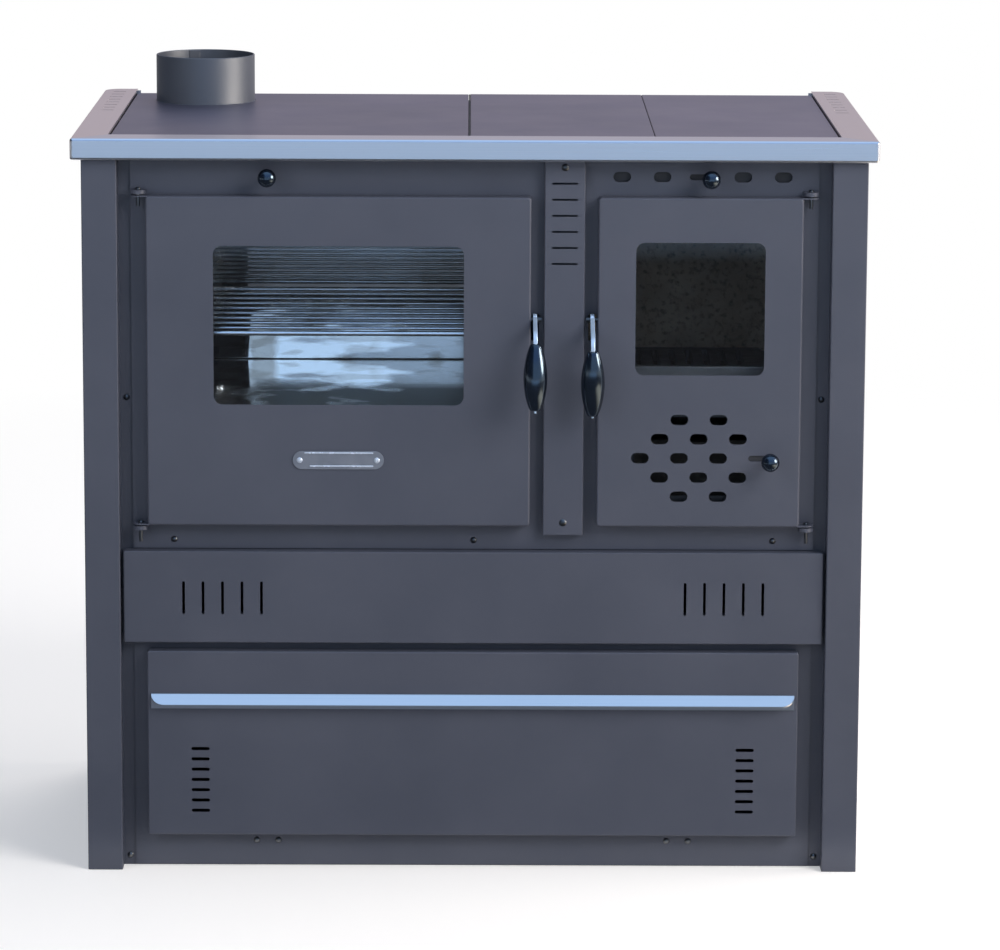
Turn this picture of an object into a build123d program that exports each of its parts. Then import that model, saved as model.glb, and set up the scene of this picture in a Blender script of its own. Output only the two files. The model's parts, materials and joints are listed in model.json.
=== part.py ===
from build123d import *
from dataclasses import dataclass
import os

# Wood cookstove with an oven, a firebox, a wood drawer and a steel hob, in millimetres.
# +Z is up, -Y is the front. The origin is on the floor, under the middle of the case.

# ---- Driving sizes ---------------------------------------------------------------------

# Front, from the floor up
toe_height = 41.0            # floor to the drawer front
drawer_height = 217.0
drawer_gap = 9.5             # drawer front to the band panel
band_height = 107.0
sill_height = 31.0           # band panel to the doors
door_height = 378.5
head_height = 43.0           # doors to the top of the case

# Front, from the left to the right
face_width = 40.0            # front fold of a side panel
reveal = 14.0                # side panel to the front plates
hinge_margin = 18.0          # edge of the front plate to a door
oven_door_width = 436.0
fire_door_width = 232.0
door_gap = 15.0              # door to the centre strip
strip_width = 46.0

# Case
case_depth = 520.0
sheet = 2.0                  # case sheets
panel_edge_radius = 1.4
recess = 25.0                # side panel front to the front frame
rear_fold = 20.0
base_lip = 24.0
plate_thick = 3.0            # upper front plate
lower_plate_thick = 2.0
plate_seam = 1.0             # edge of a front plate to the band or the floor
shelf_gap = 5.0              # band panel's lower edge to the bay shelf
back_vent_count = 7
back_vent_columns = 3
back_vent_length = 90.0
back_vent_height = 5.0
back_vent_pitch = 15.0

# Top
ledge_height = 12.0          # frame that carries the hob
ledge_bearing = 10.0         # how far the frame reaches under the hob
bar_width = 30.0             # bars under the joints of the hob
hob_thick = 8.0
hob_left_width = 406.6
hob_middle_width = 209.7
joint_left_width = 2.4
joint_right_width = 0.8
hob_rear_gap = 7.5           # hob's rear edge to the back of the case
hob_edge = 0.6
rim_raise = 3.0              # rim above the hob
rim_over = 11.5              # rim beyond the case, at the sides and the front
rim_rear_over = 16.0
rim_width = 40.0             # top face of the side rims
rim_front_width = 44.0
rim_sheet = 1.5
rim_skirt = 24.5
rim_edge_radius = 3.0
rim_front_radius = 3.6
rim_rear_radius = 20.0
rim_fold_gap = 2.0           # fold under the rim to the case
rim_wrap = 5.0               # rim behind the hob's rear corners
rim_clearance = 1.4          # rim to the hob
rim_slot_length = 15.6
rim_slot_width = 3.0
rim_slot_pitch = 30.0
rim_slot_count = 8
rim_slot_first = 36.0        # last slot to the rim's rear end

# Flue
flue_radius = 59.5           # a 120 mm pipe slides over the collar
flue_wall = 2.0
flue_height = 56.0           # collar above the hob
flue_inset = 117.6           # side of the case to the collar's axis
flue_rear_inset = 84.8       # back of the case to the collar's axis
flue_flange = 12.0
flue_shoulder = 1.0          # collar's foot, in the hob, beyond the pipe's seat
flue_fit = 0.25
duct_side_margin = 17.0      # duct beyond the collar, left and right
duct_front_margin = 11.0
duct_rear_gap = 8.0          # duct to the back panel
duct_top_gap = 0.5           # duct to the collar's flange
duct_foot = 60.0             # smoke way under the duct's foot
port_margin = 15.0
port_height = 52.0
port_drop = 8.0

# Doors
door_depth = 18.0
door_sheet = 2.0
door_proud = 20.0            # door face to the front plate
door_edge_radius = 2.5
door_corner_radius = 4.0
liner_setback = 3.5          # liner's rear face to the front plate
liner_flange = 1.5
liner_sheet = 1.5
window_radius = 10.0
liner_window_margin = 7.0
glass_thick = 4.0
glass_lap = 15.0
gasket_thick = 1.0
gasket_width = 10.0
clip_gap = 0.3
clip_length = 24.0
clip_reach = 6.0             # clip over the glass
clip_foot = 8.0
clip_sheet = 1.5
rope_width = 8.0             # flat rope seal
rope_inset = 9.0
rope_clearance = 0.4
oven_window_width = 284.0
oven_window_height = 182.0
oven_window_drop = 56.5      # door's top edge to the window
fire_window_width = 146.5
fire_window_height = 152.0
fire_window_drop = 51.0
air_window_inset = 18.0      # fire opening to the air window in the liner
air_window_margin = 14.0

# Door hinges
pin_radius = 1.9
pin_fit = 0.05
pin_offset = 8.4             # door edge to the pin
pin_front = 11.0             # front plate to the pin
pin_head_radius = 3.0
pin_head_height = 2.6
pin_head_gap = 0.2
pin_tail = 14.2             # pin below the lower face of its bracket
tab_radius = 8.2
tab_thick = 1.5
bracket_thick = 4.4
hinge_gap = 1.6              # tab to bracket

# Door handles
pivot_drop = 140.6           # door's top edge to the lever's pivot
lever_thick = 6.0
lever_width = 10.0
lever_boss = 6.5
lever_roll = 1.6             # rolled edge on the right side of a stamped lever
lever_bend = 9.0
lever_drop = 17.0            # pivot to the bend
nose_length = 20.0
nose_height = 6.0
oven_lever_gap = 2.0         # door edge to the lever
fire_lever_gap = 2.9
latch_slot_width = 9.0
latch_slot_above = 5.0
latch_slot_below = 26.0
pivot_radius = 2.3
pivot_head_radius = 3.2
pivot_rivet_radius = 3.6     # inner end of the pivot, ahead of the liner
pivot_head_length = 4.0
pivot_head_gap = 0.3
grip_drop = 63.0             # pivot to the middle of the grip
grip_forward = 44.0          # pivot to the grip's axis
grip_length = 76.0
grip_radius = 13.7
grip_top_radius = 5.7
grip_bottom_radius = 6.4
stem_radius = 2.6
stem_fit = 0.1
stem_tip_radius = 1.8
stem_tip = 2.6
handle_turn = 5.5            # the two handles hang this many degrees to either side of the middle

# Air controls
hole_length = 20.5
hole_height = 12.2
primary_pitch = 44.6
primary_row_pitch = 22.2
primary_clearance = 11.85    # glass clip to the guide of the slide
secondary_pitch = 45.7
secondary_offset = 2.1       # middle of the fire door to the middle of the secondary air holes
secondary_drop = 21.8        # case top to the secondary air holes
secondary_hole_length = 20.0
secondary_hole_height = 11.6
slide_travel = 20.0
slide_slot_length = 30.0
slide_slot_height = 6.8
slide_slot_offset = 4.85     # slot's middle beyond the place of a hole
slide_end_gap = 0.6
slide_rod_radius = 3.0
slide_sheet = 1.5
slide_gap = 0.4
slide_margin = 7.0
slide_lap = 3.4
guide_thick = 2.6
knob_radius = 10.5
knob_reach = 26.0            # surface to the centre of a ball knob
knob_neck_radius = 4.5
knob_neck = 4.0
knob_bore = 6.0              # end of a rod to the centre of its ball
damper_offset = 92.0         # collar's axis to the damper's rod
damper_rod_radius = 4.0
rod_fit = 0.08
gate_thick = 3.0
gate_gap = 0.4
gate_lap = 9.0
gate_rise = 6.3

# Centre strip
strip_proud = 12.0
strip_sheet = 1.5
strip_tail = 11.0            # strip below the doors
strip_slot_length = 29.2
strip_slot_height = 2.3
strip_slot_pitch = 18.3
strip_slot_drop = 28.3       # case top to the first slot
strip_slot_count = 6
strip_screw_drop = 10.0      # case top to the upper screw
strip_screw_rise = 3.0       # doors' lower edge to the lower screw

# Band panel
band_proud = 18.0
band_sheet = 1.5
band_fit = 3.2               # band to a side panel
band_slot_width = 3.2
band_slot_height = 38.4
band_slot_drop = 0.9         # middle of the band panel to the middle of its slots
band_slot_pitch = 22.3
band_slot_inset = 116.6      # side panel to the middle slot
band_slot_count = 5

# Oven
oven_lap = 30.0              # door edge to the oven opening
oven_under = 124.5           # door's lower edge to the oven floor
oven_depth = 403.0
oven_wall = 2.0
oven_corner_radius = 12.0
rib_height = 3.0
rib_depth = 8.0
rib_pitch = 62.0
rib_count = 3
rib_end_gap = 12.0
rack_level = 85.0            # oven floor to the rib that carries the rack
rack_side_gap = 3.0
rack_front_gap = 17.0
rack_rear_gap = 30.0
rack_frame_radius = 3.0
rack_bar_radius = 2.0
rack_bar_count = 8
rack_corner_radius = 18.0
rest_gap = 0.3               # a loose piece above what carries it
cleanout_width = 240.0
cleanout_height = 64.0
cleanout_thick = 2.0
cleanout_lap = 10.0
cleanout_fit = 1.0
cleanout_screw_radius = 6.0
cleanout_screw_height = 1.0

# Firebox
fire_lap = 25.0              # door edge to the fire opening
fire_rise = 20.0             # door's lower and upper edges to the fire opening
fire_wall = 3.0
fire_side = 42.0             # fire opening to the inside of the shell
fire_depth = 383.0
brick_thick = 28.0
brick_height = 205.0
brick_fit = 0.5
brick_front_gap = 8.0
brick_edge = 2.0
outlet_height = 50.0
outlet_length = 260.0
outlet_drop = 8.0
grate_level = 116.0          # shell floor to the grate's ledge
ledge_thick = 6.0
rebate = 3.0
grate_width = 176.0
grate_length = 280.0
grate_thick = 12.0
grate_fit = 1.5
grate_bearing = 9.0
grate_corner_radius = 8.0
grate_slot_width = 8.0
grate_slot_pitch = 20.0
grate_slot_margin = 20.0
guard_height = 36.0
guard_thick = 6.0
guard_gap = 6.0
ash_side_gap = 6.0
ash_front_gap = 43.0
ash_rear_gap = 15.0
ash_height = 66.0
ash_sheet = 1.5
ash_corner_radius = 8.0
ash_grip_width = 60.0
ash_grip_depth = 14.0
ash_grip_fall = 10.0

# Wood drawer
drawer_side_gap = 16.0       # front plate edge to the drawer front
drawer_seat = 0.4            # drawer front to the lower plate
drawer_front_depth = 18.6
drawer_inset = 12.0          # drawer front to its opening
box_side_gap = 7.0           # opening to the drawer box
box_rise = 12.0
box_height = 140.0
box_flange = 12.0            # edge by which a side of the box is fixed to the drawer front
box_rear_gap = 80.0          # drawer box to the back panel
drawer_sheet = 1.5
drawer_vent_inset = 60.4     # drawer front's edge to the vents
drawer_vent_rise = 28.9      # drawer front's lower edge to the lowest vent
drawer_vent_length = 21.0
drawer_vent_height = 3.9
drawer_vent_pitch = 12.2
drawer_vent_count = 7
handle_margin = 4.2
handle_drop = 49.9           # drawer front's top edge to the handle
handle_back = 17.2
handle_sheet = 1.5
lip_out = 10.5
lip_fall = 10.5
lip_corner = 15.0            # rounded end of the lip, along the drawer
runner_ledge = 16.0
runner_guide = 24.0
runner_fit = 1.0
runner_sheet = 2.0

# Screws
screw_head_radius = 3.7
screw_head_height = 2.4
screw_shank_radius = 1.9
screw_hole_radius = 2.1
screw_length = 7.0
strip_head_radius = 4.2
strip_head_height = 1.6
sill_screw_inset = 47.0      # front plate's edge to the outer screw
sill_screw_rise = 10.2
rail_screw_inset = 140.0
rail_screw_pitch = 25.0
rail_screw_z = 30.0
margin_screw_inset = 6.5
corner_screw_z = 11.5
side_screw_rise = 144.5      # doors' lower edge to the screw beside them
back_screw_inset = 12.0
back_screw_end = 50.0

# ---- Places worked out from the sizes --------------------------------------------------

drawer_z = (toe_height, toe_height + drawer_height)
band_z = (drawer_z[1] + drawer_gap, drawer_z[1] + drawer_gap + band_height)
door_z = (band_z[1] + sill_height, band_z[1] + sill_height + door_height)
case_top = door_z[1] + head_height
ledge_top = case_top + ledge_height
hob_top = ledge_top + hob_thick
rim_top = hob_top + rim_raise

plate_width = 2 * hinge_margin + oven_door_width + 2 * door_gap + strip_width + fire_door_width
plate_half = plate_width / 2
inner_half = plate_half + reveal            # between the side panels' front folds
case_half = inner_half + face_width
oven_door_x = (-plate_half + hinge_margin, -plate_half + hinge_margin + oven_door_width)
strip_x = (oven_door_x[1] + door_gap, oven_door_x[1] + door_gap + strip_width)
fire_door_x = (strip_x[1] + door_gap, plate_half - hinge_margin)

front_y = -case_depth / 2
rear_y = case_depth / 2
back_y = (rear_y - 2 * sheet, rear_y - sheet)
frame_y = (front_y + recess, front_y + recess + sheet)
plate_y = frame_y[0] - plate_thick
lower_plate_y = frame_y[0] - lower_plate_thick
strip_y = plate_y - strip_proud
plate_z = (band_z[1] + plate_seam, case_top)
door_y = (plate_y - door_proud, plate_y - door_proud + door_depth)
skin_y = door_y[0] + door_sheet             # inside of a door's face
inner_case_x = (-case_half + sheet, case_half - sheet)

oven_x = (oven_door_x[0] + oven_lap, oven_door_x[1] - oven_lap)
oven_y = (frame_y[1], frame_y[1] + oven_depth)
oven_z = (door_z[0] + oven_under, door_z[1] - oven_lap)
fire_x = (fire_door_x[0] + fire_lap, fire_door_x[1] - fire_lap)
fire_z = (door_z[0] + fire_rise, door_z[1] - fire_rise)
shell_x = (fire_x[0] - fire_side, fire_x[1] + fire_side)
shell_y = (frame_y[1], frame_y[1] + fire_depth)
shell_floor = fire_z[0] + fire_wall
grate_ledge_z = shell_floor + grate_level
brick_z = (grate_ledge_z + ledge_thick, grate_ledge_z + ledge_thick + brick_height)
brick_x = (shell_x[0] + brick_fit + brick_thick, shell_x[1] - brick_fit - brick_thick)
fire_middle = (fire_x[0] + fire_x[1]) / 2
shelf_z = band_z[0] - shelf_gap

rim_x = (-case_half - rim_over, case_half + rim_over)
rim_y = (front_y - rim_over, rear_y + rim_rear_over)
hob_x = (rim_x[0] + rim_width + rim_clearance, rim_x[1] - rim_width - rim_clearance)
hob_y = (rim_y[0] + rim_front_width + rim_clearance, rear_y - hob_rear_gap)
hob_left_x = (hob_x[0], hob_x[0] + hob_left_width)
hob_middle_x = (hob_left_x[1] + joint_left_width, hob_left_x[1] + joint_left_width + hob_middle_width)
hob_right_x = (hob_middle_x[1] + joint_right_width, hob_x[1])

flue_x = -case_half + flue_inset
flue_y = rear_y - flue_rear_inset
duct_x = (flue_x - flue_radius - duct_side_margin, flue_x + flue_radius + duct_side_margin)
duct_y = (flue_y - flue_radius - duct_front_margin, back_y[0] - duct_rear_gap)
duct_z = (oven_z[1] + oven_wall, ledge_top - flue_wall - duct_top_gap)
port_x = (duct_x[0] + port_margin, duct_x[1] - port_margin)
port_z = (duct_z[1] - port_drop - port_height, duct_z[1] - port_drop)
damper_x = flue_x + damper_offset
gate_y = (duct_y[0] - gate_gap - gate_thick, duct_y[0] - gate_gap)

pin_y = plate_y - pin_front
pivot_z = door_z[1] - pivot_drop
grip_y = pin_y - grip_forward
grip_z = (pivot_z - grip_drop - grip_length / 2, pivot_z - grip_drop + grip_length / 2)

secondary_z = case_top - secondary_drop
secondary_middle = fire_middle + secondary_offset
primary_slot_x = fire_middle + 1.5 * primary_pitch + slide_slot_offset
primary_y = (skin_y + slide_gap, skin_y + slide_gap + slide_sheet)
secondary_y = (frame_y[1] + slide_gap, frame_y[1] + slide_gap + slide_sheet)

drawer_half = plate_half - drawer_side_gap
drawer_y = (lower_plate_y - drawer_seat - drawer_front_depth, lower_plate_y - drawer_seat)
drawer_hole_half = drawer_half - drawer_inset
drawer_hole_z = (drawer_z[0] + drawer_inset, drawer_z[1] - drawer_inset)
box_half = drawer_hole_half - box_side_gap
box_y = (drawer_y[0] + drawer_sheet, back_y[0] - box_rear_gap)
box_z = (drawer_hole_z[0] + box_rise, drawer_hole_z[0] + box_rise + box_height)


def middle(limits):
    return (limits[0] + limits[1]) / 2


def grow(limits, by):
    return (limits[0] - by, limits[1] + by)


cleanout_x = grow((middle(oven_x), middle(oven_x)), cleanout_width / 2)
cleanout_z = grow((door_z[0] + oven_under / 2, door_z[0] + oven_under / 2), cleanout_height / 2)


@dataclass
class Door:
    x: tuple
    side: int                # -1 where the hinges are at the left, 1 at the right
    window_x: tuple
    window_z: tuple
    lever_x: tuple
    turn: float              # how the handle hangs, in degrees


def door_window(door_x, width, height, drop):
    x = grow((middle(door_x), middle(door_x)), width / 2)
    return x, (door_z[1] - drop - height, door_z[1] - drop)


oven = Door(
    oven_door_x, -1,
    *door_window(oven_door_x, oven_window_width, oven_window_height, oven_window_drop),
    (oven_door_x[1] + oven_lever_gap, oven_door_x[1] + oven_lever_gap + lever_thick),
    -handle_turn,
)
fire = Door(
    fire_door_x, 1,
    *door_window(fire_door_x, fire_window_width, fire_window_height, fire_window_drop),
    (fire_door_x[0] - fire_lever_gap - lever_thick, fire_door_x[0] - fire_lever_gap),
    handle_turn,
)

primary_top = fire.window_z[0] - glass_lap - clip_gap - clip_foot - primary_clearance
primary_z = primary_top - guide_thick - slide_gap - slide_margin - hole_height / 2 - 2 * primary_row_pitch


# ---- Shapes that repeat ----------------------------------------------------------------

def block(x, y, z):
    """A box from its low and high limits along each axis."""
    return Pos(middle(x), middle(y), middle(z)) * Box(x[1] - x[0], y[1] - y[0], z[1] - z[0])


def front_plane(y):
    """A plane that faces the front, with its own x along X and its own y along Z."""
    return Plane(origin=(0, y, 0), x_dir=(1, 0, 0), z_dir=(0, -1, 0))


def side_plane(x):
    """A plane that faces the right, with its own x along Y and its own y along Z."""
    return Plane(origin=(x, 0, 0), x_dir=(0, 1, 0), z_dir=(1, 0, 0))


def panel(x, y, z, corner=0.0):
    """A flat piece that faces the front, with rounded corners."""
    width = x[1] - x[0]
    height = z[1] - z[0]
    outline = RectangleRounded(width, height, corner) if corner > 0 else Rectangle(width, height)
    return extrude(front_plane(y[1]) * Pos(middle(x), middle(z)) * outline, amount=y[1] - y[0])


def slots(centres, length, height, y, turn=0):
    """Slots with round ends, along Y."""
    outline = Rot(0, 0, turn) * SlotOverall(length, height)
    return [extrude(front_plane(y[1]) * Pos(x, z) * outline, amount=y[1] - y[0]) for x, z in centres]


def rod_x(x, y, z, radius):
    return extrude(side_plane(x[0]) * Pos(y, z) * Circle(radius), amount=x[1] - x[0])


def rod_y(x, y, z, radius):
    return extrude(front_plane(y[1]) * Pos(x, z) * Circle(radius), amount=y[1] - y[0])


def rod_z(x, y, z, radius):
    return extrude(Pos(x, y, z[0]) * Circle(radius), amount=z[1] - z[0])


def tray(x, y, z, thick, corner, edge_radius):
    """A folded sheet with its face at the front and its edges turned back."""
    outer = panel(x, y, z, corner)
    outer = fillet(outer.faces().sort_by(Axis.Y)[0].edges(), edge_radius)
    return outer - panel(grow(x, -thick), (y[0] + thick, y[1] + 1), grow(z, -thick), corner / 2)


def dome_screw(x, y, z, radius, height):
    """A round-headed screw whose head sits at y, with its shank going back."""
    ball_radius = (radius ** 2 + height ** 2) / (2 * height)
    ball = Pos(x, y - height + ball_radius, z) * Sphere(ball_radius)
    head = ball & block(grow((x, x), 2 * radius), (y - height - 1, y), grow((z, z), 2 * radius))
    return head + rod_y(x, (y, y + screw_length), z, screw_shank_radius)


def screw_holes(places, y):
    return [rod_y(x, y, z, screw_hole_radius) for x, z in places]


def spread(centre, pitch, count):
    """Evenly spaced places about a centre."""
    return [centre + (i - (count - 1) / 2) * pitch for i in range(count)]


# ---- Case ------------------------------------------------------------------------------

def side_panel(side):
    """side is -1 for the left and 1 for the right."""
    outer = sorted((side * case_half, side * (case_half - sheet)))
    face = sorted((side * case_half, side * inner_half))
    lip = sorted((side * inner_half, side * (inner_half + sheet)))
    rear = sorted((side * case_half, side * (case_half - rear_fold)))
    body = block(outer, (front_y, rear_y), (0, case_top))
    body += block(face, (front_y, front_y + sheet), (0, case_top))
    body += block(lip, (front_y, frame_y[0]), (0, case_top))
    body += block(rear, (back_y[1], rear_y), (0, case_top))
    front_edges = body.edges().filter_by(Axis.Z).filter_by_position(Axis.Y, front_y - 0.1, front_y + 0.1)
    body = fillet(front_edges, panel_edge_radius)
    return body - screw_holes(back_screw_places(side), grow(back_y, 2 * sheet))


def back_screw_places(side):
    x = side * (case_half - back_screw_inset)
    return [(x, z) for z in (back_screw_end, case_top / 2, case_top - back_screw_end)]


def back_panel():
    body = block(inner_case_x, back_y, (sheet, case_top))
    columns = spread(0, back_vent_length * 1.3, back_vent_columns)
    rows = spread(shelf_z / 2, back_vent_pitch, back_vent_count)
    body -= slots([(x, z) for x in columns for z in rows], back_vent_length, back_vent_height, grow(back_y, 1))
    for side in (-1, 1):
        body -= screw_holes(back_screw_places(side), grow(back_y, 1))
    return body


def back_screws():
    """Each one goes through the fold of a side panel and the edge of the back panel."""
    screws = []
    for side in (-1, 1):
        for x, z in back_screw_places(side):
            screws.append(Rot(0, 0, 180) * dome_screw(-x, -rear_y, z, screw_head_radius, screw_head_height))
    return screws


def base_plate():
    y = (frame_y[1], back_y[0])
    body = block(inner_case_x, y, (0, sheet))
    for x in (inner_case_x[0], inner_case_x[1] - sheet):
        body += block((x, x + sheet), y, (0, base_lip))
    return body


def bay_shelf():
    """The sheet over the wood drawer."""
    return block(inner_case_x, (frame_y[1], back_y[0]), (shelf_z - sheet, shelf_z))


def channel_floor():
    """The sheet under the oven's smoke way."""
    x = (inner_case_x[0], shell_x[0] - fire_wall)
    return block(x, (frame_y[1], back_y[0]), (fire_z[0], fire_z[0] + sheet))


def latch_slots(y):
    z = (pivot_z - latch_slot_below, pivot_z + latch_slot_above)
    half = latch_slot_width / 2
    return [panel((middle(door.lever_x) - half, middle(door.lever_x) + half), y, z) for door in (oven, fire)]


def door_openings(y):
    """The holes that the upper front plate and the front frame share."""
    holes = [panel(oven_x, y, oven_z, oven_corner_radius), panel(fire_x, y, fire_z)]
    holes.append(panel(cleanout_x, y, cleanout_z))
    return holes + latch_slots(y)


def sill_screws():
    x = plate_half - sill_screw_inset
    return [(place, plate_z[0] + sill_screw_rise) for place in (-x, 0, x)]


def rail_screws():
    x = plate_half - rail_screw_inset
    return [(side * place, rail_screw_z) for side in (-1, 1) for place in (x, x - rail_screw_pitch)]


def margin_screws():
    x = plate_half + margin_screw_inset
    return [(side * x, z) for side in (-1, 1) for z in (corner_screw_z, door_z[0] + side_screw_rise)]


def strip_screws():
    return [(middle(strip_x), z) for z in (case_top - strip_screw_drop, door_z[0] + strip_screw_rise)]


def front_frame():
    """The inner front sheet, which the plates, the oven and the firebox are fixed to."""
    cut = grow(frame_y, 1)
    body = panel(inner_case_x, frame_y, (0, case_top))
    body -= door_openings(cut)
    body -= panel((-drawer_hole_half, drawer_hole_half), cut, drawer_hole_z)
    air_x = grow((secondary_middle, secondary_middle), 2 * secondary_pitch + secondary_hole_length / 2 + 2)
    body -= panel(air_x, cut, grow((secondary_z, secondary_z), secondary_hole_height / 2 + 2))
    for side in (-1, 1):
        x = grow((side * band_slot_x(), side * band_slot_x()), band_slot_pitch * band_slot_count / 2)
        body -= panel(x, cut, grow((band_slot_z(), band_slot_z()), band_slot_height / 2))
    body -= rod_y(damper_x, cut, secondary_z, damper_rod_radius + 2)
    return body - screw_holes(sill_screws() + rail_screws() + margin_screws(), cut)


def upper_front_plate():
    cut = grow((plate_y, frame_y[0]), 1)
    body = panel((-plate_half, plate_half), (plate_y, frame_y[0]), plate_z)
    body -= door_openings(cut)
    body -= slots(secondary_hole_places(), secondary_hole_length, secondary_hole_height, cut)
    body -= slots([(secondary_middle, secondary_z)], slide_slot_length, slide_slot_height, cut)
    body -= rod_y(damper_x, cut, secondary_z, damper_rod_radius + rod_fit)
    return body - screw_holes(sill_screws(), cut)


def lower_front_plate():
    y = (lower_plate_y, frame_y[0])
    body = panel((-plate_half, plate_half), y, (plate_seam, band_z[0] - plate_seam))
    body -= panel((-drawer_hole_half, drawer_hole_half), grow(y, 1), drawer_hole_z)
    return body - screw_holes(rail_screws(), grow(y, 1))


def centre_strip():
    """A shallow channel that covers the post between the doors."""
    z = (door_z[0] - strip_tail, case_top)
    body = panel(strip_x, (strip_y, plate_y), z)
    front_edges = body.edges().filter_by(Axis.Z).filter_by_position(Axis.Y, strip_y - 0.1, strip_y + 0.1)
    body = fillet(front_edges, strip_sheet)
    inside = block(grow(strip_x, -strip_sheet), (strip_y + strip_sheet, plate_y + 1), (z[0] + strip_sheet, z[1] + 1))
    body -= inside
    cut = (strip_y - 1, strip_y + strip_sheet + 1)
    centres = [(middle(strip_x), case_top - strip_slot_drop - i * strip_slot_pitch) for i in range(strip_slot_count)]
    body -= slots(centres, strip_slot_length, strip_slot_height, cut)
    return body - screw_holes(strip_screws(), cut)


def front_screws():
    screws = []
    for places, y in ((sill_screws(), plate_y), (rail_screws(), lower_plate_y), (margin_screws(), frame_y[0])):
        screws += [dome_screw(x, y, z, screw_head_radius, screw_head_height) for x, z in places]
    return screws + [dome_screw(x, strip_y, z, strip_head_radius, strip_head_height) for x, z in strip_screws()]


def band_slot_x():
    return inner_half - band_slot_inset


def band_slot_z():
    return middle(band_z) - band_slot_drop


def band_panel():
    x = (-inner_half + band_fit, inner_half - band_fit)
    y = (frame_y[0] - band_proud, frame_y[0])
    body = tray(x, y, band_z, band_sheet, band_sheet, band_sheet * 0.8)
    xs = [x for side in (-1, 1) for x in spread(side * band_slot_x(), band_slot_pitch, band_slot_count)]
    cut = (y[0] - 1, y[0] + band_sheet + 1)
    return body - slots([(x, band_slot_z()) for x in xs], band_slot_height, band_slot_width, cut, turn=90)


# ---- Top -------------------------------------------------------------------------------

def hob_frame():
    """The level frame that carries the hob, with a bar under each of its joints."""
    y = (front_y + sheet, rear_y)
    z = (case_top, ledge_top)
    body = block(inner_case_x, y, z) - block(grow(hob_x, -ledge_bearing), grow(hob_y, -ledge_bearing), grow(z, 1))
    for joint in ((hob_left_x[1], hob_middle_x[0]), (hob_middle_x[1], hob_right_x[0])):
        body += block(grow((middle(joint), middle(joint)), bar_width / 2), y, z)
    return body - block(grow(duct_x, 1), grow(duct_y, 1), grow(z, 1))


def top_rim():
    """Folded steel rim on the front and the two sides, open at the rear."""
    inner_x = grow(rim_x, -rim_width)
    inner_y = rim_y[0] + rim_front_width
    z = (rim_top - rim_skirt, rim_top)
    body = block(rim_x, rim_y, z)
    upright = body.edges().filter_by(Axis.Z).sort_by(Axis.Y)
    body = fillet(upright[-2:], rim_rear_radius)
    upright = body.edges().filter_by(Axis.Z).sort_by(Axis.Y)
    body = fillet(upright[:2], rim_front_radius)
    body = fillet(body.faces().sort_by(Axis.Z)[-1].edges(), rim_edge_radius)
    body = fillet(body.faces().sort_by(Axis.Z)[0].edges(), rim_edge_radius)
    hollow = block(grow(rim_x, -rim_sheet), grow(rim_y, -rim_sheet), grow(z, -rim_sheet))
    hollow = fillet(hollow.edges().filter_by(Axis.Z).sort_by(Axis.Y)[-2:], rim_rear_radius - rim_sheet)
    fold = rim_over - rim_fold_gap
    hollow += block(grow(rim_x, -fold), grow(rim_y, -fold), (z[0] - 1, z[1] - rim_sheet))
    lip = block(grow(inner_x, rim_sheet), (inner_y - rim_sheet, rim_y[1] - rim_sheet), (ledge_top, z[1]))
    body = body - hollow + lip
    body -= block(inner_x, (inner_y, rim_y[1] + 1), (z[0] - 1, z[1] + 1))
    wrap_y = (hob_y[1] + rim_clearance, hob_y[1] + rim_clearance + rim_sheet)
    body += block((inner_x[0] - rim_sheet, inner_x[0] + rim_wrap), wrap_y, (ledge_top, z[1]))
    body += block((inner_x[1] - rim_wrap, inner_x[1] + rim_sheet), wrap_y, (ledge_top, z[1]))
    for side in (-1, 1):
        for i in range(rim_slot_count):
            place = Pos(side * (rim_x[1] - rim_width / 2), rim_y[1] - rim_slot_first - i * rim_slot_pitch, z[1] + 1)
            body -= extrude(place * SlotOverall(rim_slot_length, rim_slot_width), amount=-rim_sheet - 2)
    return body


def hob_plate(x, lift=0.0):
    body = block(x, hob_y, (ledge_top + lift, hob_top + lift))
    return chamfer(body.faces().sort_by(Axis.Z)[-1].edges(), hob_edge)


def hob_plate_left():
    hole_radius = flue_radius + flue_shoulder + flue_fit
    return hob_plate(hob_left_x) - rod_z(flue_x, flue_y, grow((ledge_top, hob_top), 1), hole_radius)


def flue_collar():
    """The pipe collar, with a flange under the hob and a wider foot through it."""
    z = (ledge_top - flue_wall, hob_top + flue_height)
    body = rod_z(flue_x, flue_y, z, flue_radius)
    body += rod_z(flue_x, flue_y, (z[0], hob_top), flue_radius + flue_shoulder)
    body += rod_z(flue_x, flue_y, (z[0], ledge_top), flue_radius + flue_flange)
    return body - rod_z(flue_x, flue_y, grow(z, 1), flue_radius - flue_wall)


def flue_duct():
    """The smoke duct under the collar, with a way down behind the oven and a port for the damper."""
    upper = block(duct_x, duct_y, duct_z)
    upper -= block(grow(duct_x, -sheet), grow(duct_y, -sheet), (duct_z[0] + sheet, duct_z[1] + 1))
    lower_y = (oven_y[1] + oven_wall, duct_y[1])
    lower_z = (fire_z[0] + sheet + duct_foot, duct_z[0] + sheet)
    lower = block(duct_x, lower_y, lower_z)
    way = block(grow(duct_x, -sheet), grow(lower_y, -sheet), grow(lower_z, 1))
    return upper + lower - way - block(port_x, grow((duct_y[0], duct_y[0] + sheet), 1), port_z)


# ---- Oven ------------------------------------------------------------------------------

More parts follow.
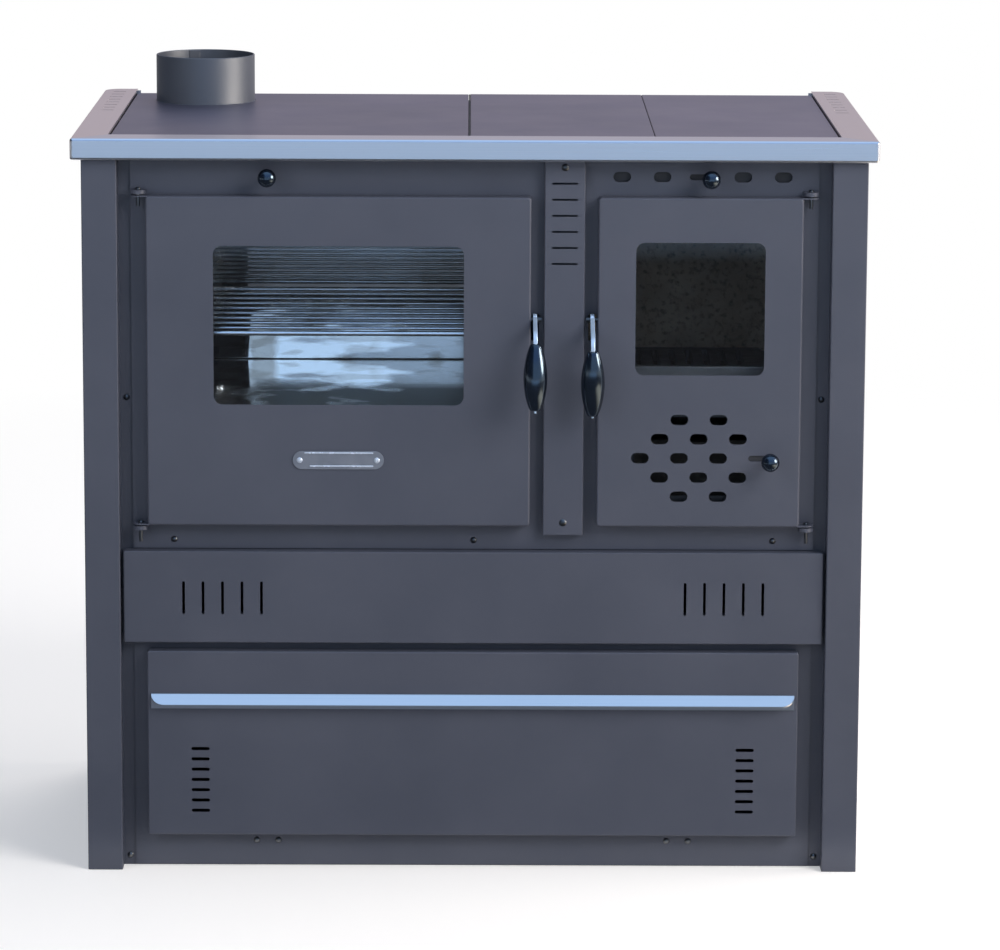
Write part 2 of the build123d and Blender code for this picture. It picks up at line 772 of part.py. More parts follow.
def oven_liner():
    """Polished steel box, open at the front, with ribs for the rack."""
    y = (oven_y[0], oven_y[1] + oven_wall)
    body = panel(grow(oven_x, oven_wall), y, grow(oven_z, oven_wall), oven_corner_radius + oven_wall)
    body -= panel(oven_x, (oven_y[0] - 1, oven_y[1]), oven_z, oven_corner_radius)
    for low in spread(oven_z[0] + rack_level, rib_pitch, rib_count):
        for x in ((oven_x[0] - 1, oven_x[0] + rib_depth), (oven_x[1] - rib_depth, oven_x[1] + 1)):
            body += block(x, grow(oven_y, -rib_end_gap), (low, low + rib_height))
    return body


def oven_rack():
    """Wire shelf: a round-cornered frame with cross bars."""
    x = grow(oven_x, -rack_side_gap - rack_frame_radius)
    y = (oven_y[0] + rack_front_gap + rack_frame_radius, oven_y[1] - rack_rear_gap - rack_frame_radius)
    z = oven_z[0] + rack_level + rib_height + rest_gap + rack_frame_radius
    outline = Pos(middle(x), middle(y), z) * RectangleRounded(x[1] - x[0], y[1] - y[0], rack_corner_radius)
    path = outline.wires()[0]
    rack = sweep(Plane(origin=path @ 0, z_dir=path % 0) * Circle(rack_frame_radius), path=path)
    for bar_y in spread(middle(y), (y[1] - y[0]) / (rack_bar_count + 1), rack_bar_count):
        rack += rod_x(x, bar_y, z, rack_bar_radius)
    return rack


def cleanout_cover():
    """Cover of the soot hole under the oven, behind the oven door."""
    y = (plate_y - cleanout_thick, plate_y)
    body = panel(grow(cleanout_x, cleanout_lap), y, grow(cleanout_z, cleanout_lap), cleanout_lap / 2)
    body += panel(grow(cleanout_x, -cleanout_fit), (plate_y, frame_y[0]), grow(cleanout_z, -cleanout_fit))
    for x in spread(middle(cleanout_x), cleanout_width * 0.8, 2):
        body += rod_y(x, (y[0] - cleanout_screw_height, y[0]), middle(cleanout_z), cleanout_screw_radius)
    return body


# ---- Firebox ---------------------------------------------------------------------------

def firebox_shell():
    y = (shell_y[0], shell_y[1] + fire_wall)
    body = block(grow(shell_x, fire_wall), y, (fire_z[0], case_top))
    body -= block(shell_x, (shell_y[0] - 1, shell_y[1]), (shell_floor, case_top + 1))
    outlet_y = grow((middle(shell_y), middle(shell_y)), outlet_length / 2)
    outlet_z = (case_top - outlet_drop - outlet_height, case_top - outlet_drop)
    return body - block(grow((shell_x[0] - fire_wall, shell_x[0]), 1), outlet_y, outlet_z)


def grate_limits():
    grate_y = (shell_y[0] + shell_y[1] - brick_thick) / 2
    return grow((fire_middle, fire_middle), grate_width / 2), grow((grate_y, grate_y), grate_length / 2)


def grate_support():
    """Cast ledge across the shell, with a rebate that holds the grate."""
    x, y = grate_limits()
    z = (grate_ledge_z, grate_ledge_z + ledge_thick)
    body = block(shell_x, shell_y, z)
    body -= block(grow(x, -grate_bearing), grow(y, -grate_bearing), grow(z, 1))
    return body - block(grow(x, grate_fit), grow(y, grate_fit), (z[1] - rebate, z[1] + 1))


def fire_grate():
    """Cast grate with two rows of long slots."""
    x, y = grate_limits()
    low = grate_ledge_z + ledge_thick - rebate + rest_gap
    body = block(x, y, (low, low + grate_thick))
    body = fillet(body.edges().filter_by(Axis.Z), grate_corner_radius)
    slot_length = (grate_length - 3 * grate_slot_margin) / 2
    count = int((grate_width - 2 * grate_slot_margin) / grate_slot_pitch) + 1
    for slot_x in spread(fire_middle, grate_slot_pitch, count):
        for slot_y in spread(middle(y), slot_length + grate_slot_margin, 2):
            outline = Pos(slot_x, slot_y, low - 1) * Rot(0, 0, 90) * SlotOverall(slot_length, grate_slot_width)
            body -= extrude(outline, amount=grate_thick + 2)
    return body


def firebrick_sides():
    y = (shell_y[0] + brick_front_gap, shell_y[1] - brick_fit)
    left = block((shell_x[0] + brick_fit, brick_x[0]), y, brick_z)
    right = block((brick_x[1], shell_x[1] - brick_fit), y, brick_z)
    return [chamfer(brick.edges().filter_by(Axis.Z), brick_edge) for brick in (left, right)]


def firebrick_back():
    y = (shell_y[1] - brick_fit - brick_thick, shell_y[1] - brick_fit)
    brick = block(grow(brick_x, -brick_fit), y, brick_z)
    return chamfer(brick.faces().sort_by(Axis.Z)[-1].edges(), brick_edge)


def log_guard():
    """Cast bar that keeps the wood off the glass."""
    y = (shell_y[0] + guard_gap, shell_y[0] + guard_gap + guard_thick)
    bar = block(grow(brick_x, -brick_fit), y, (brick_z[0], brick_z[0] + guard_height))
    return fillet(bar.edges().filter_by(Axis.X), guard_thick / 4)


def ash_pan():
    """Folded pan with a turned-out grip at the front."""
    x = grow(fire_x, -ash_side_gap)
    y = (shell_y[0] + ash_front_gap, shell_y[1] - ash_rear_gap)
    z = (shell_floor + rest_gap, shell_floor + rest_gap + ash_height)
    body = block(x, y, z)
    body = fillet(body.edges().filter_by(Axis.Z), ash_corner_radius)
    hollow = block(grow(x, -ash_sheet), grow(y, -ash_sheet), (z[0] + ash_sheet, z[1] + 1))
    body -= fillet(hollow.edges().filter_by(Axis.Z), ash_corner_radius - ash_sheet)
    grip_x = grow((fire_middle, fire_middle), ash_grip_width / 2)
    front = y[0] - ash_grip_depth
    body += block(grip_x, (front, y[0] + ash_sheet), (z[1] - ash_sheet, z[1]))
    return body + block(grip_x, (front, front + ash_sheet), (z[1] - ash_grip_fall, z[1]))


# ---- Doors -----------------------------------------------------------------------------

def pin_x(door):
    return door.x[0] - pin_offset if door.side < 0 else door.x[1] + pin_offset


def latch_edge(door):
    return door.x[1] if door.side < 0 else door.x[0]


def hinge_levels():
    """For the upper and the lower hinge: limits in z of the door's tab and of the bracket."""
    upper = (door_z[1] + hinge_gap, door_z[1] + hinge_gap + bracket_thick)
    lower = (door_z[0] - hinge_gap - bracket_thick, door_z[0] - hinge_gap)
    return ((door_z[1] - tab_thick, door_z[1]), upper), ((door_z[0], door_z[0] + tab_thick), lower)


def door_skin(door):
    """Outer tray of a door, with its window, its hinge tabs and the hole of the handle's pivot."""
    body = tray(door.x, door_y, door_z, door_sheet, door_corner_radius, door_edge_radius)
    body -= panel(door.window_x, (door_y[0] - 1, skin_y + 1), door.window_z, window_radius)
    centre = pin_x(door)
    for tab, bracket in hinge_levels():
        reach = sorted((centre, centre - door.side * (pin_offset + door_sheet)))
        body += block(reach, grow((pin_y, pin_y), tab_radius), tab) + rod_z(centre, pin_y, tab, tab_radius)
        body -= rod_z(centre, pin_y, grow(tab, 1), pin_radius)
    return body - rod_x(grow((latch_edge(door), latch_edge(door)), 2 * door_sheet), pin_y, pivot_z, pivot_radius)


def fire_door_skin():
    cut = (door_y[0] - 1, skin_y + 1)
    body = door_skin(fire) - slots(primary_hole_places(), hole_length, hole_height, cut)
    return body - slots([(primary_slot_x, primary_z)], slide_slot_length, slide_slot_height, cut)


def hinge_brackets():
    """Frame sides of the four hinges: tongues with a round end, standing out from the front plate."""
    brackets = []
    for door in (oven, fire):
        centre = pin_x(door)
        for tab, bracket in hinge_levels():
            body = block(grow((centre, centre), tab_radius), (pin_y, plate_y), bracket)
            body += rod_z(centre, pin_y, bracket, tab_radius)
            brackets.append(body - rod_z(centre, pin_y, grow(bracket, 1), pin_radius + pin_fit))
    return brackets


def door_pins(door):
    """Two hinge pins and the pivot of the handle, all held by the door."""
    centre = pin_x(door)
    pins = []
    for tab, bracket in hinge_levels():
        top = max(tab[1], bracket[1]) + pin_head_gap
        head = rod_z(centre, pin_y, (top, top + pin_head_height), pin_head_radius)
        head = fillet(head.faces().sort_by(Axis.Z)[-1].edges(), pin_head_height * 0.6)
        pins.append(head + rod_z(centre, pin_y, (bracket[0] - pin_tail, top), pin_radius))
    out = -door.side                        # from the door's latch edge towards the strip
    inside = latch_edge(door) - out * door_sheet
    far = door.lever_x[1] if out > 0 else door.lever_x[0]
    shoulder = far + out * pivot_head_gap
    pivot = rod_x(sorted((inside, shoulder)), pin_y, pivot_z, pivot_radius)
    pivot += rod_x(sorted((inside - out * pivot_head_length, inside)), pin_y, pivot_z, pivot_rivet_radius)
    pivot += rod_x(sorted((shoulder, shoulder + out * pivot_head_length)), pin_y, pivot_z, pivot_head_radius)
    return pins + [pivot]


def door_liner(door, openings):
    """Inner sheet of a door, turned forward at its edges."""
    x = grow(door.x, -door_sheet)
    z = grow(door_z, -door_sheet)
    rear = plate_y - liner_setback
    front = rear - liner_sheet - liner_flange
    body = panel(x, (front, rear), z, door_sheet)
    body -= panel(grow(x, -liner_sheet), (front - 1, rear - liner_sheet), grow(z, -liner_sheet), door_sheet / 2)
    for hole_x, hole_z in openings:
        body -= panel(hole_x, grow((rear - liner_sheet, rear), 1), hole_z, window_radius)
    return body


def liner_window(door):
    return grow(door.window_x, liner_window_margin), grow(door.window_z, liner_window_margin)


def air_window():
    """The hole in the fire door's liner that lets the primary air through."""
    return grow(fire_x, -air_window_inset), (fire_z[0] + air_window_margin, grate_ledge_z - air_window_margin)


def door_glass(door):
    y = (skin_y + gasket_thick, skin_y + gasket_thick + glass_thick)
    return panel(grow(door.window_x, glass_lap), y, grow(door.window_z, glass_lap), gasket_width / 2)


def door_seals(door):
    """Rope seal behind the liner, and the flat gasket between the glass and the skin."""
    inset = door_sheet + rope_inset
    y = (plate_y - liner_setback, plate_y - rope_clearance)
    rope = panel(grow(door.x, -inset), y, grow(door_z, -inset), rope_width)
    rope -= panel(grow(door.x, -inset - rope_width), grow(y, 1), grow(door_z, -inset - rope_width), rope_width / 2)
    rope = fillet(rope.faces().sort_by(Axis.Y)[-1].edges(), (y[1] - y[0]) / 2)
    y = (skin_y, skin_y + gasket_thick)
    outer = panel(grow(door.window_x, glass_lap), y, grow(door.window_z, glass_lap), gasket_width / 2)
    inner = glass_lap - gasket_width
    gasket = outer - panel(grow(door.window_x, inner), grow(y, 1), grow(door.window_z, inner), window_radius + inner)
    return [rope, gasket]


def glass_clips(door):
    """Z-shaped clips that hold the glass to the skin, at the middle of each side."""
    behind = skin_y + gasket_thick + glass_thick
    clips = []
    for across, along in ((door.window_x, door.window_z), (door.window_z, door.window_x)):
        span = grow((middle(along), middle(along)), clip_length / 2)
        for side in (-1, 1):
            edge = grow(across, glass_lap)[0 if side < 0 else 1]
            leg = edge + side * clip_gap
            parts = (
                ((edge - side * clip_reach, leg + side * clip_sheet), (behind, behind + clip_sheet)),
                ((leg, leg + side * clip_sheet), (skin_y, behind + clip_sheet)),
                ((leg, leg + side * clip_foot), (skin_y, skin_y + clip_sheet)),
            )
            clip = None
            for limits, y in parts:
                limits = sorted(limits)
                piece = block(limits, y, span) if across is door.window_x else block(span, y, limits)
                clip = piece if clip is None else clip + piece
            clips.append(clip)
    return clips


def hanging(shape, door):
    """Turns a piece of the handle about its pivot to where it hangs."""
    return Pos(0, pin_y, pivot_z) * Rot(door.turn, 0, 0) * Pos(0, -pin_y, -pivot_z) * shape


def latch_lever(door):
    """Stamped lever: a boss, a nose that reaches back, an arm and the stem of the grip."""
    arm = FilletPolyline((pin_y, pivot_z), (grip_y, pivot_z - lever_drop), (grip_y, grip_z[1]), radius=lever_bend)
    nose = Pos(pin_y + nose_length / 2, pivot_z - nose_height / 2) * Rectangle(nose_length, nose_height)
    outline = Pos(pin_y, pivot_z) * Circle(lever_boss) + nose + trace(arm, lever_width)
    body = extrude(side_plane(door.lever_x[0]) * outline, amount=lever_thick)
    body = fillet(body.faces().sort_by(Axis.X)[-1].edges(), lever_roll)
    body -= rod_x(grow(door.lever_x, 1), pin_y, pivot_z, pivot_radius + pin_fit)
    body += rod_z(middle(door.lever_x), grip_y, (grip_z[0], grip_z[1] + 1), stem_radius)
    body += rod_z(middle(door.lever_x), grip_y, (grip_z[0] - stem_tip, grip_z[0]), stem_tip_radius)
    return hanging(body, door)


def grip(door):
    """Barrel grip turned about the stem."""
    bore = stem_radius + stem_fit
    side = Spline((grip_bottom_radius, 0), (grip_radius, grip_length / 2), (grip_top_radius, grip_length))
    ends = Polyline((grip_top_radius, grip_length), (bore, grip_length), (bore, 0), (grip_bottom_radius, 0))
    body = revolve(Plane.XZ * make_face(side + ends), Axis.Z)
    return hanging(Pos(middle(door.lever_x), grip_y, grip_z[0]) * body, door)


# ---- Air controls ----------------------------------------------------------------------

def primary_hole_places():
    """Five staggered rows of air holes; the middle row ends in the slide's slot."""
    rows = ((2, (-0.5, 0.5)), (1, (-1, 0, 1)), (0, (-1.5, -0.5, 0.5)), (-1, (-1, 0, 1)), (-2, (-0.5, 0.5)))
    return [(fire_middle + column * primary_pitch, primary_z + row * primary_row_pitch)
            for row, columns in rows for column in columns]


def secondary_hole_places(moved=0.0):
    return [(secondary_middle + column * secondary_pitch + moved, secondary_z) for column in (-2, -1, 1, 2)]


def slide_limits(places, right, length, height):
    """Limits in x and z of a slide that covers its holes."""
    xs = [x for x, z in places]
    zs = [z for x, z in places]
    x = (min(xs) - length / 2 - slide_margin, right)
    return x, grow((min(zs), max(zs)), height / 2 + slide_margin)


primary_right = primary_slot_x + slide_slot_length / 2
primary_limits = slide_limits(primary_hole_places(), primary_right, hole_length, hole_height)
secondary_right = secondary_middle + 2 * secondary_pitch + secondary_hole_length / 2 + slide_travel + slide_margin
secondary_limits = slide_limits(
    secondary_hole_places(), secondary_right, secondary_hole_length, secondary_hole_height)


def air_slide(limits, y, places, height):
    """A slide whose holes are a little shorter than its travel, so that it can shut them all."""
    return panel(limits[0], y, limits[1]) - slots(places, slide_travel - slide_end_gap, height, grow(y, 1))


def slide_guides(limits, y, root_y):
    """Z-section rails that hold a slide above and below, fixed at root_y."""
    x = (limits[0][0] - slide_travel, limits[0][1])
    behind = y[1] + slide_gap
    rails = []
    for side, edge in zip((-1, 1), limits[1]):
        web = sorted((edge + side * slide_gap, edge + side * (slide_gap + guide_thick)))
        lap = sorted((edge - side * slide_lap, edge + side * (slide_gap + guide_thick)))
        rails.append(block(x, (root_y, behind), web) + block(x, (behind, behind + slide_sheet), lap))
    return rails


def ball_knob(x, surface_y, z):
    """A ball with a short neck, standing off a surface."""
    y = surface_y - knob_reach
    return Pos(x, y, z) * Sphere(knob_radius) + rod_y(x, (y, y + knob_radius + knob_neck), z, knob_neck_radius)


def slide_knob(slot_x, surface_y, slide_y, z):
    """Ball knob with a rod through its slot to the slide; at rest it stands near the slot's right end."""
    x = slot_x - slide_slot_length / 2 + slide_end_gap + slide_rod_radius + slide_travel
    return ball_knob(x, surface_y, z) + rod_y(x, (surface_y - knob_reach, slide_y[0]), z, slide_rod_radius)


def damper_gate():
    """Flat gate that shuts the duct's port, on its pull rod."""
    x = (port_x[0] - gate_lap, max(port_x[1] + gate_lap, damper_x + damper_rod_radius + gate_thick))
    body = panel(x, gate_y, grow(port_z, gate_rise), gate_rise)
    return body + rod_y(damper_x, (plate_y - knob_reach + knob_bore, gate_y[1]), secondary_z, damper_rod_radius)


def damper_knob():
    bore_y = (plate_y - knob_reach + knob_bore, plate_y)
    return ball_knob(damper_x, plate_y, secondary_z) - rod_y(damper_x, bore_y, secondary_z, damper_rod_radius)


# ---- Wood drawer -----------------------------------------------------------------------

def drawer_front():
    body = tray((-drawer_half, drawer_half), drawer_y, drawer_z, drawer_sheet, drawer_sheet * 1.6, drawer_sheet)
    rows = [drawer_z[0] + drawer_vent_rise + i * drawer_vent_pitch for i in range(drawer_vent_count)]
    centres = [(side * (drawer_half - drawer_vent_inset), z) for side in (-1, 1) for z in rows]
    cut = (drawer_y[0] - 1, drawer_y[0] + drawer_sheet + 1)
    return body - slots(centres, drawer_vent_length, drawer_vent_height, cut)


def drawer_box():
    """Box without a front of its own: its sides have edges that are fixed to the drawer front."""
    x = (-box_half, box_half)
    z = (box_z[0] + drawer_sheet, box_z[1] + 1)
    hollow = block(grow(x, -drawer_sheet), grow(box_y, -drawer_sheet), z)
    hollow += block(grow(x, -box_flange), (box_y[0] - 1, box_y[1] - drawer_sheet), z)
    return block(x, box_y, box_z) - hollow


def drawer_handle():
    """Folded steel strip across the drawer front: a flat back and a lip that slopes down and out."""
    half = drawer_half - handle_margin
    top = drawer_z[1] - handle_drop
    root = drawer_y[0] - handle_sheet
    back = block((-half, half), (root, drawer_y[0]), (top - handle_back, top))
    lip = Polyline((root, top), (root - lip_out, top - lip_fall), (root - lip_out, top - lip_fall - handle_sheet),
                   (root, top - 1.4 * handle_sheet), close=True)
    lip = extrude(side_plane(-half) * make_face(lip), amount=2 * half)
    for side in (-1, 1):
        corner = block(sorted((side * half, side * (half - lip_corner))), (root - 2 * lip_out, root), (0, top))
        rounding = Pos(side * (half - lip_corner), root, 0) * Ellipse(lip_corner, lip_out)
        lip -= corner - extrude(rounding, amount=top)
    return back + lip


def drawer_runners():
    """Angle runners that stand on the base, with a ledge under the drawer box."""
    ledge_z = box_z[0] - rest_gap
    y = (frame_y[1], box_y[1])
    runners = []
    for side in (-1, 1):
        wall = side * (box_half + runner_fit)
        out = wall + side * runner_sheet
        body = block(sorted((wall, out)), y, (sheet, ledge_z + runner_guide))
        body += block(sorted((wall - side * runner_ledge, out)), y, (ledge_z - runner_sheet, ledge_z))
        body += block(sorted((wall, wall + side * runner_ledge)), y, (sheet, sheet + runner_sheet))
        runners.append(body)
    return runners


# ---- Every piece, by the name of its file ----------------------------------------------

pieces = {
    "left_side_panel": side_panel(-1),
    "right_side_panel": side_panel(1),
    "back_panel": back_panel(),
    "base_plate": base_plate(),
    "front_frame": front_frame(),
    "upper_front_plate": upper_front_plate(),
    "lower_front_plate": lower_front_plate(),
    "centre_strip": centre_strip(),
    "band_panel": band_panel(),
    "bay_shelf": bay_shelf(),
    "channel_floor": channel_floor(),
    "drawer_runners": drawer_runners(),
    "front_screws": front_screws(),
    "back_screws": back_screws(),
    "hob_frame": hob_frame(),
    "top_rim": top_rim(),
    "hob_plate_left": hob_plate_left(),
    "hob_plate_middle": hob_plate(hob_middle_x, rest_gap),
    "hob_plate_right": hob_plate(hob_right_x, rest_gap),
    "flue_collar": flue_collar(),
    "flue_duct": flue_duct(),
    "oven_liner": oven_liner(),
    "oven_rack": oven_rack(),
    "cleanout_cover": cleanout_cover(),
    "firebox_shell": firebox_shell(),
    "grate_support": grate_support(),
    "fire_grate": fire_grate(),
    "firebrick_sides": firebrick_sides(),
    "firebrick_back": firebrick_back(),
    "log_guard": log_guard(),
    "ash_pan": ash_pan(),
    "hinge_brackets": hinge_brackets(),
    "oven_door_skin": door_skin(oven),
    "oven_door_liner": door_liner(oven, [liner_window(oven)]),
    "oven_door_glass": door_glass(oven),
    "oven_glass_clips": glass_clips(oven),
    "oven_door_seals": door_seals(oven),
    "oven_door_pins": door_pins(oven),
    "oven_latch_lever": latch_lever(oven),
    "oven_grip": grip(oven),
    "fire_door_skin": fire_door_skin(),
    "fire_door_liner": door_liner(fire, [liner_window(fire), air_window()]),
    "fire_door_glass": door_glass(fire),
    "fire_glass_clips": glass_clips(fire),
    "fire_door_seals": door_seals(fire),
    "fire_door_pins": door_pins(fire),
    "fire_latch_lever": latch_lever(fire),
    "fire_grip": grip(fire),
    "primary_air_slide": air_slide(primary_limits, primary_y, primary_hole_places(), hole_height),
    "primary_air_knob": slide_knob(primary_slot_x, door_y[0], primary_y, primary_z),
    "primary_guides": slide_guides(primary_limits, primary_y, skin_y),
    "secondary_air_slide": air_slide(
        secondary_limits, secondary_y, secondary_hole_places(slide_travel), secondary_hole_height),
    "secondary_air_knob": slide_knob(secondary_middle, plate_y, secondary_y, secondary_z),
    "secondary_guides": slide_guides(secondary_limits, secondary_y, frame_y[1]),
    "damper_gate": damper_gate(),
    "damper_knob": damper_knob(),
    "drawer_front": drawer_front(),
    "drawer_box": drawer_box(),
    "drawer_handle": drawer_handle(),
}

os.makedirs("parts", exist_ok=True)
for name, shape in pieces.items():
    solids = [solid for item in (shape if isinstance(shape, list) else [shape]) for solid in item.solids()]
    export_step(solids[0] if len(solids) == 1 else Compound(children=solids), "parts/" + name + ".step")
print(len(pieces), "pieces,", round(rim_x[1] - rim_x[0]), "wide,", round(rim_top), "high to the rim")
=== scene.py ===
import json
import math
import bmesh
import bpy
from mathutils import Matrix, Vector


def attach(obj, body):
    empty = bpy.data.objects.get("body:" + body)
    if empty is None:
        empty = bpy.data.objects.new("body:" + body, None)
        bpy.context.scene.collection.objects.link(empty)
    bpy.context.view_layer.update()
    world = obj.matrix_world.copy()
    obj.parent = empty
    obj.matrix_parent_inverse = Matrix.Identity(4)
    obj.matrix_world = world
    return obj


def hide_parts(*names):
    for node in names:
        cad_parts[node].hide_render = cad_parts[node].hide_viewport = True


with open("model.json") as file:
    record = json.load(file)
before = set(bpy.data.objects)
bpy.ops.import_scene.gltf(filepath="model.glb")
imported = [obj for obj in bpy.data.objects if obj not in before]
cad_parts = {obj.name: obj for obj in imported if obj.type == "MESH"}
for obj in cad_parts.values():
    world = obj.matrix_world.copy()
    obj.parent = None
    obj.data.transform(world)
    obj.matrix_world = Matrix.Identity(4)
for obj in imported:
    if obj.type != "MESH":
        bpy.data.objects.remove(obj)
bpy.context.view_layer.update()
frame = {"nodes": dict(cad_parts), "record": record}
print("frame loaded,", len(frame["nodes"]), "nodes")


# Small helpers for node trees and meshes

def put(tree, kind, sockets=None, **settings):
    # a socket that is given another node's output is linked, anything else is set
    node = tree.nodes.new(kind)
    for key, value in settings.items():
        setattr(node, key, value)
    for key, value in (sockets or {}).items():
        if isinstance(value, bpy.types.NodeSocket):
            tree.links.new(value, node.inputs[key])
        else:
            node.inputs[key].default_value = value
    return node


def freshMaterial(name):
    material = bpy.data.materials.new(name)
    material.use_nodes = True
    return material, material.node_tree, material.node_tree.nodes["Principled BSDF"]


def objectPoints(tree, stretch=(1, 1, 1)):
    coordinates = put(tree, "ShaderNodeTexCoord")
    if stretch == (1, 1, 1):
        return coordinates.outputs["Object"]
    sockets = {"Vector": coordinates.outputs["Object"], "Scale": stretch}
    return put(tree, "ShaderNodeMapping", sockets).outputs["Vector"]


def noise(tree, points, scale, detail=3.0, roughness=0.55):
    sockets = {"Vector": points, "Scale": scale, "Detail": detail, "Roughness": roughness}
    return put(tree, "ShaderNodeTexNoise", sockets).outputs["Fac"]


def between(tree, factor, low, high, start=0.3, end=0.7):
    sockets = {"Value": factor, "From Min": start, "From Max": end, "To Min": low, "To Max": high}
    return put(tree, "ShaderNodeMapRange", sockets).outputs["Result"]


def blendColours(tree, factor, first, second):
    mix = put(tree, "ShaderNodeMix", data_type="RGBA")
    tree.links.new(factor, mix.inputs["Factor"])
    for name, colour in (("A", first), ("B", second)):
        socket = [s for s in mix.inputs if s.name == name and s.type == "RGBA"][0]
        if isinstance(colour, bpy.types.NodeSocket):
            tree.links.new(colour, socket)
        else:
            socket.default_value = (*colour, 1)
    return [s for s in mix.outputs if s.type == "RGBA"][0]


def calculate(tree, operation, first, second=0.0):
    return put(tree, "ShaderNodeMath", {0: first, 1: second}, operation=operation).outputs[0]


def bumpOf(tree, height, strength, distance, under=None):
    sockets = {"Height": height, "Strength": strength, "Distance": distance}
    if under is not None:
        sockets["Normal"] = under
    return put(tree, "ShaderNodeBump", sockets).outputs["Normal"]


surfaceNoise = {"clouds": 4.0, "specks": 2.0, "speckSpan": (0.5, 0.75), "wear": 3.0, "grain": (2.0, 0.7)}


def surface(name, look):
    # a finish with cloudy colour, uneven gloss, a coarse and a fine relief, and where a slant is given a
    # painted reflection that makes one side darker
    material, tree, shader = freshMaterial(name)
    points = objectPoints(tree)
    clouds = noise(tree, points, look["cloudScale"], surfaceNoise["clouds"])
    shade = clouds
    # a slant along X darkens the colour toward -X: a painted reflection, on the hob that of the flue at its
    # left
    if "slant" in look:
        across = put(tree, "ShaderNodeSeparateXYZ", {0: points}).outputs["X"]
        shade = calculate(tree, "ADD", clouds, calculate(tree, "MULTIPLY", across, look["slant"]))
    colour = blendColours(tree, between(tree, shade, 0, 1), look["dark"], look["light"])
    if "speckScale" in look:
        specks = noise(tree, points, look["speckScale"], surfaceNoise["specks"])
        amount = between(tree, specks, 0, look["speckAmount"], *surfaceNoise["speckSpan"])
        colour = blendColours(tree, amount, colour, look["speck"])
    tree.links.new(colour, shader.inputs["Base Color"])
    wear = noise(tree, points, look["wearScale"], surfaceNoise["wear"])
    tree.links.new(between(tree, wear, *look["roughness"]), shader.inputs["Roughness"])
    coarse = bumpOf(tree, clouds, *look["wave"])
    grain = noise(tree, points, look["grainScale"], *surfaceNoise["grain"])
    tree.links.new(bumpOf(tree, grain, *look["grain"], coarse), shader.inputs["Normal"])
    shader.inputs["Metallic"].default_value = look.get("metallic", 0.0)
    shader.inputs["IOR"].default_value = look.get("ior", 1.5)
    # a specular tint colours the reflections; the blue one given to the black gloss is a painted sky
    # reflection
    shader.inputs["Specular Tint"].default_value = (*look.get("tint", (1, 1, 1)), 1)
    return material


def dress(nodeName, material):
    mesh = frame["nodes"][nodeName].data
    mesh.materials.clear()
    mesh.materials.append(material)


def meshObject(name, shape, material):
    # makes the object of a finished bmesh, at the origin
    mesh = bpy.data.meshes.new(name)
    shape.to_mesh(mesh)
    shape.free()
    piece = bpy.data.objects.new(name, mesh)
    bpy.context.scene.collection.objects.link(piece)
    mesh.materials.append(material)
    return piece


def finishPiece(name, shape, material, body, nodes=(), smooth=True):
    # the object rides on its body, and takes the place of CAD nodes where they are named
    piece = meshObject(name, shape, material)
    for face in piece.data.polygons:
        face.use_smooth = smooth
    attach(piece, body)
    if nodes:
        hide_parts(*nodes)
    return piece


def closeShape(shape):
    bmesh.ops.remove_doubles(shape, verts=shape.verts, dist=1e-6)
    bmesh.ops.recalc_face_normals(shape, faces=shape.faces)
    return shape


def turnedShape(profile, steps, place, closed=False):
    # profile holds (radius, height) in millimetres; it is spun about the Z axis and then placed
    shape = bmesh.new()
    corners = [shape.verts.new((radius / 1000, 0, height / 1000)) for radius, height in profile]
    edges = [shape.edges.new(pair) for pair in zip(corners, corners[1:])]
    if closed:
        edges.append(shape.edges.new((corners[-1], corners[0])))
    bmesh.ops.spin(shape, geom=corners + edges, cent=(0, 0, 0), axis=(0, 0, 1),
                   angle=math.tau, steps=steps, use_merge=True, use_duplicate=False)
    closeShape(shape)
    bmesh.ops.transform(shape, matrix=place, verts=shape.verts)
    return shape


def thicken(shape, thick):
    # gives a flat shape a thickness in millimetres along Z
    raised = bmesh.ops.extrude_face_region(shape, geom=shape.faces[:], use_keep_orig=True)
    top = [item for item in raised["geom"] if isinstance(item, bmesh.types.BMVert)]
    bmesh.ops.translate(shape, verts=top, vec=(0, 0, thick / 1000))
    bmesh.ops.recalc_face_normals(shape, faces=shape.faces)


def bevelledBlock(size, centre, edge, segments=1):
    # size, centre and edge are in metres
    shape = bmesh.new()
    place = Matrix.Translation(centre) @ Matrix.Diagonal((*size, 1))
    bmesh.ops.create_cube(shape, size=1.0, matrix=place)
    bmesh.ops.bevel(shape, geom=shape.edges[:], offset=edge, offset_type="OFFSET", segments=segments,
                    profile=0.5, affect="EDGES", material=-1)
    return shape


def facingFront(x, y, z):
    # turns a shape's Z axis to the front (-Y) and puts its origin at a point in millimetres
    return Matrix.Translation((x / 1000, y / 1000, z / 1000)) @ Matrix.Rotation(math.radians(90), 4, "X")


def addModifier(piece, kind, **settings):
    modifier = piece.modifiers.new(kind.title(), kind)
    for key, value in settings.items():
        setattr(modifier, key, value)


def softenEdges(piece, width, segments, angle):
    # width in metres; edges sharper than the angle, in degrees, are rounded
    addModifier(piece, "BEVEL", width=width, segments=segments, limit_method="ANGLE",
                angle_limit=math.radians(angle))


# Camera, at the place and angle of the photograph

cameraLook = {
    "place": (-0.00661, -5.6278, 1.46022),
    "yaw": 0.00680066,
    "pitch": 0.18317931,
    "roll": 0.00491429,
    "lens": 172.454,
    "sensor": 36,
}


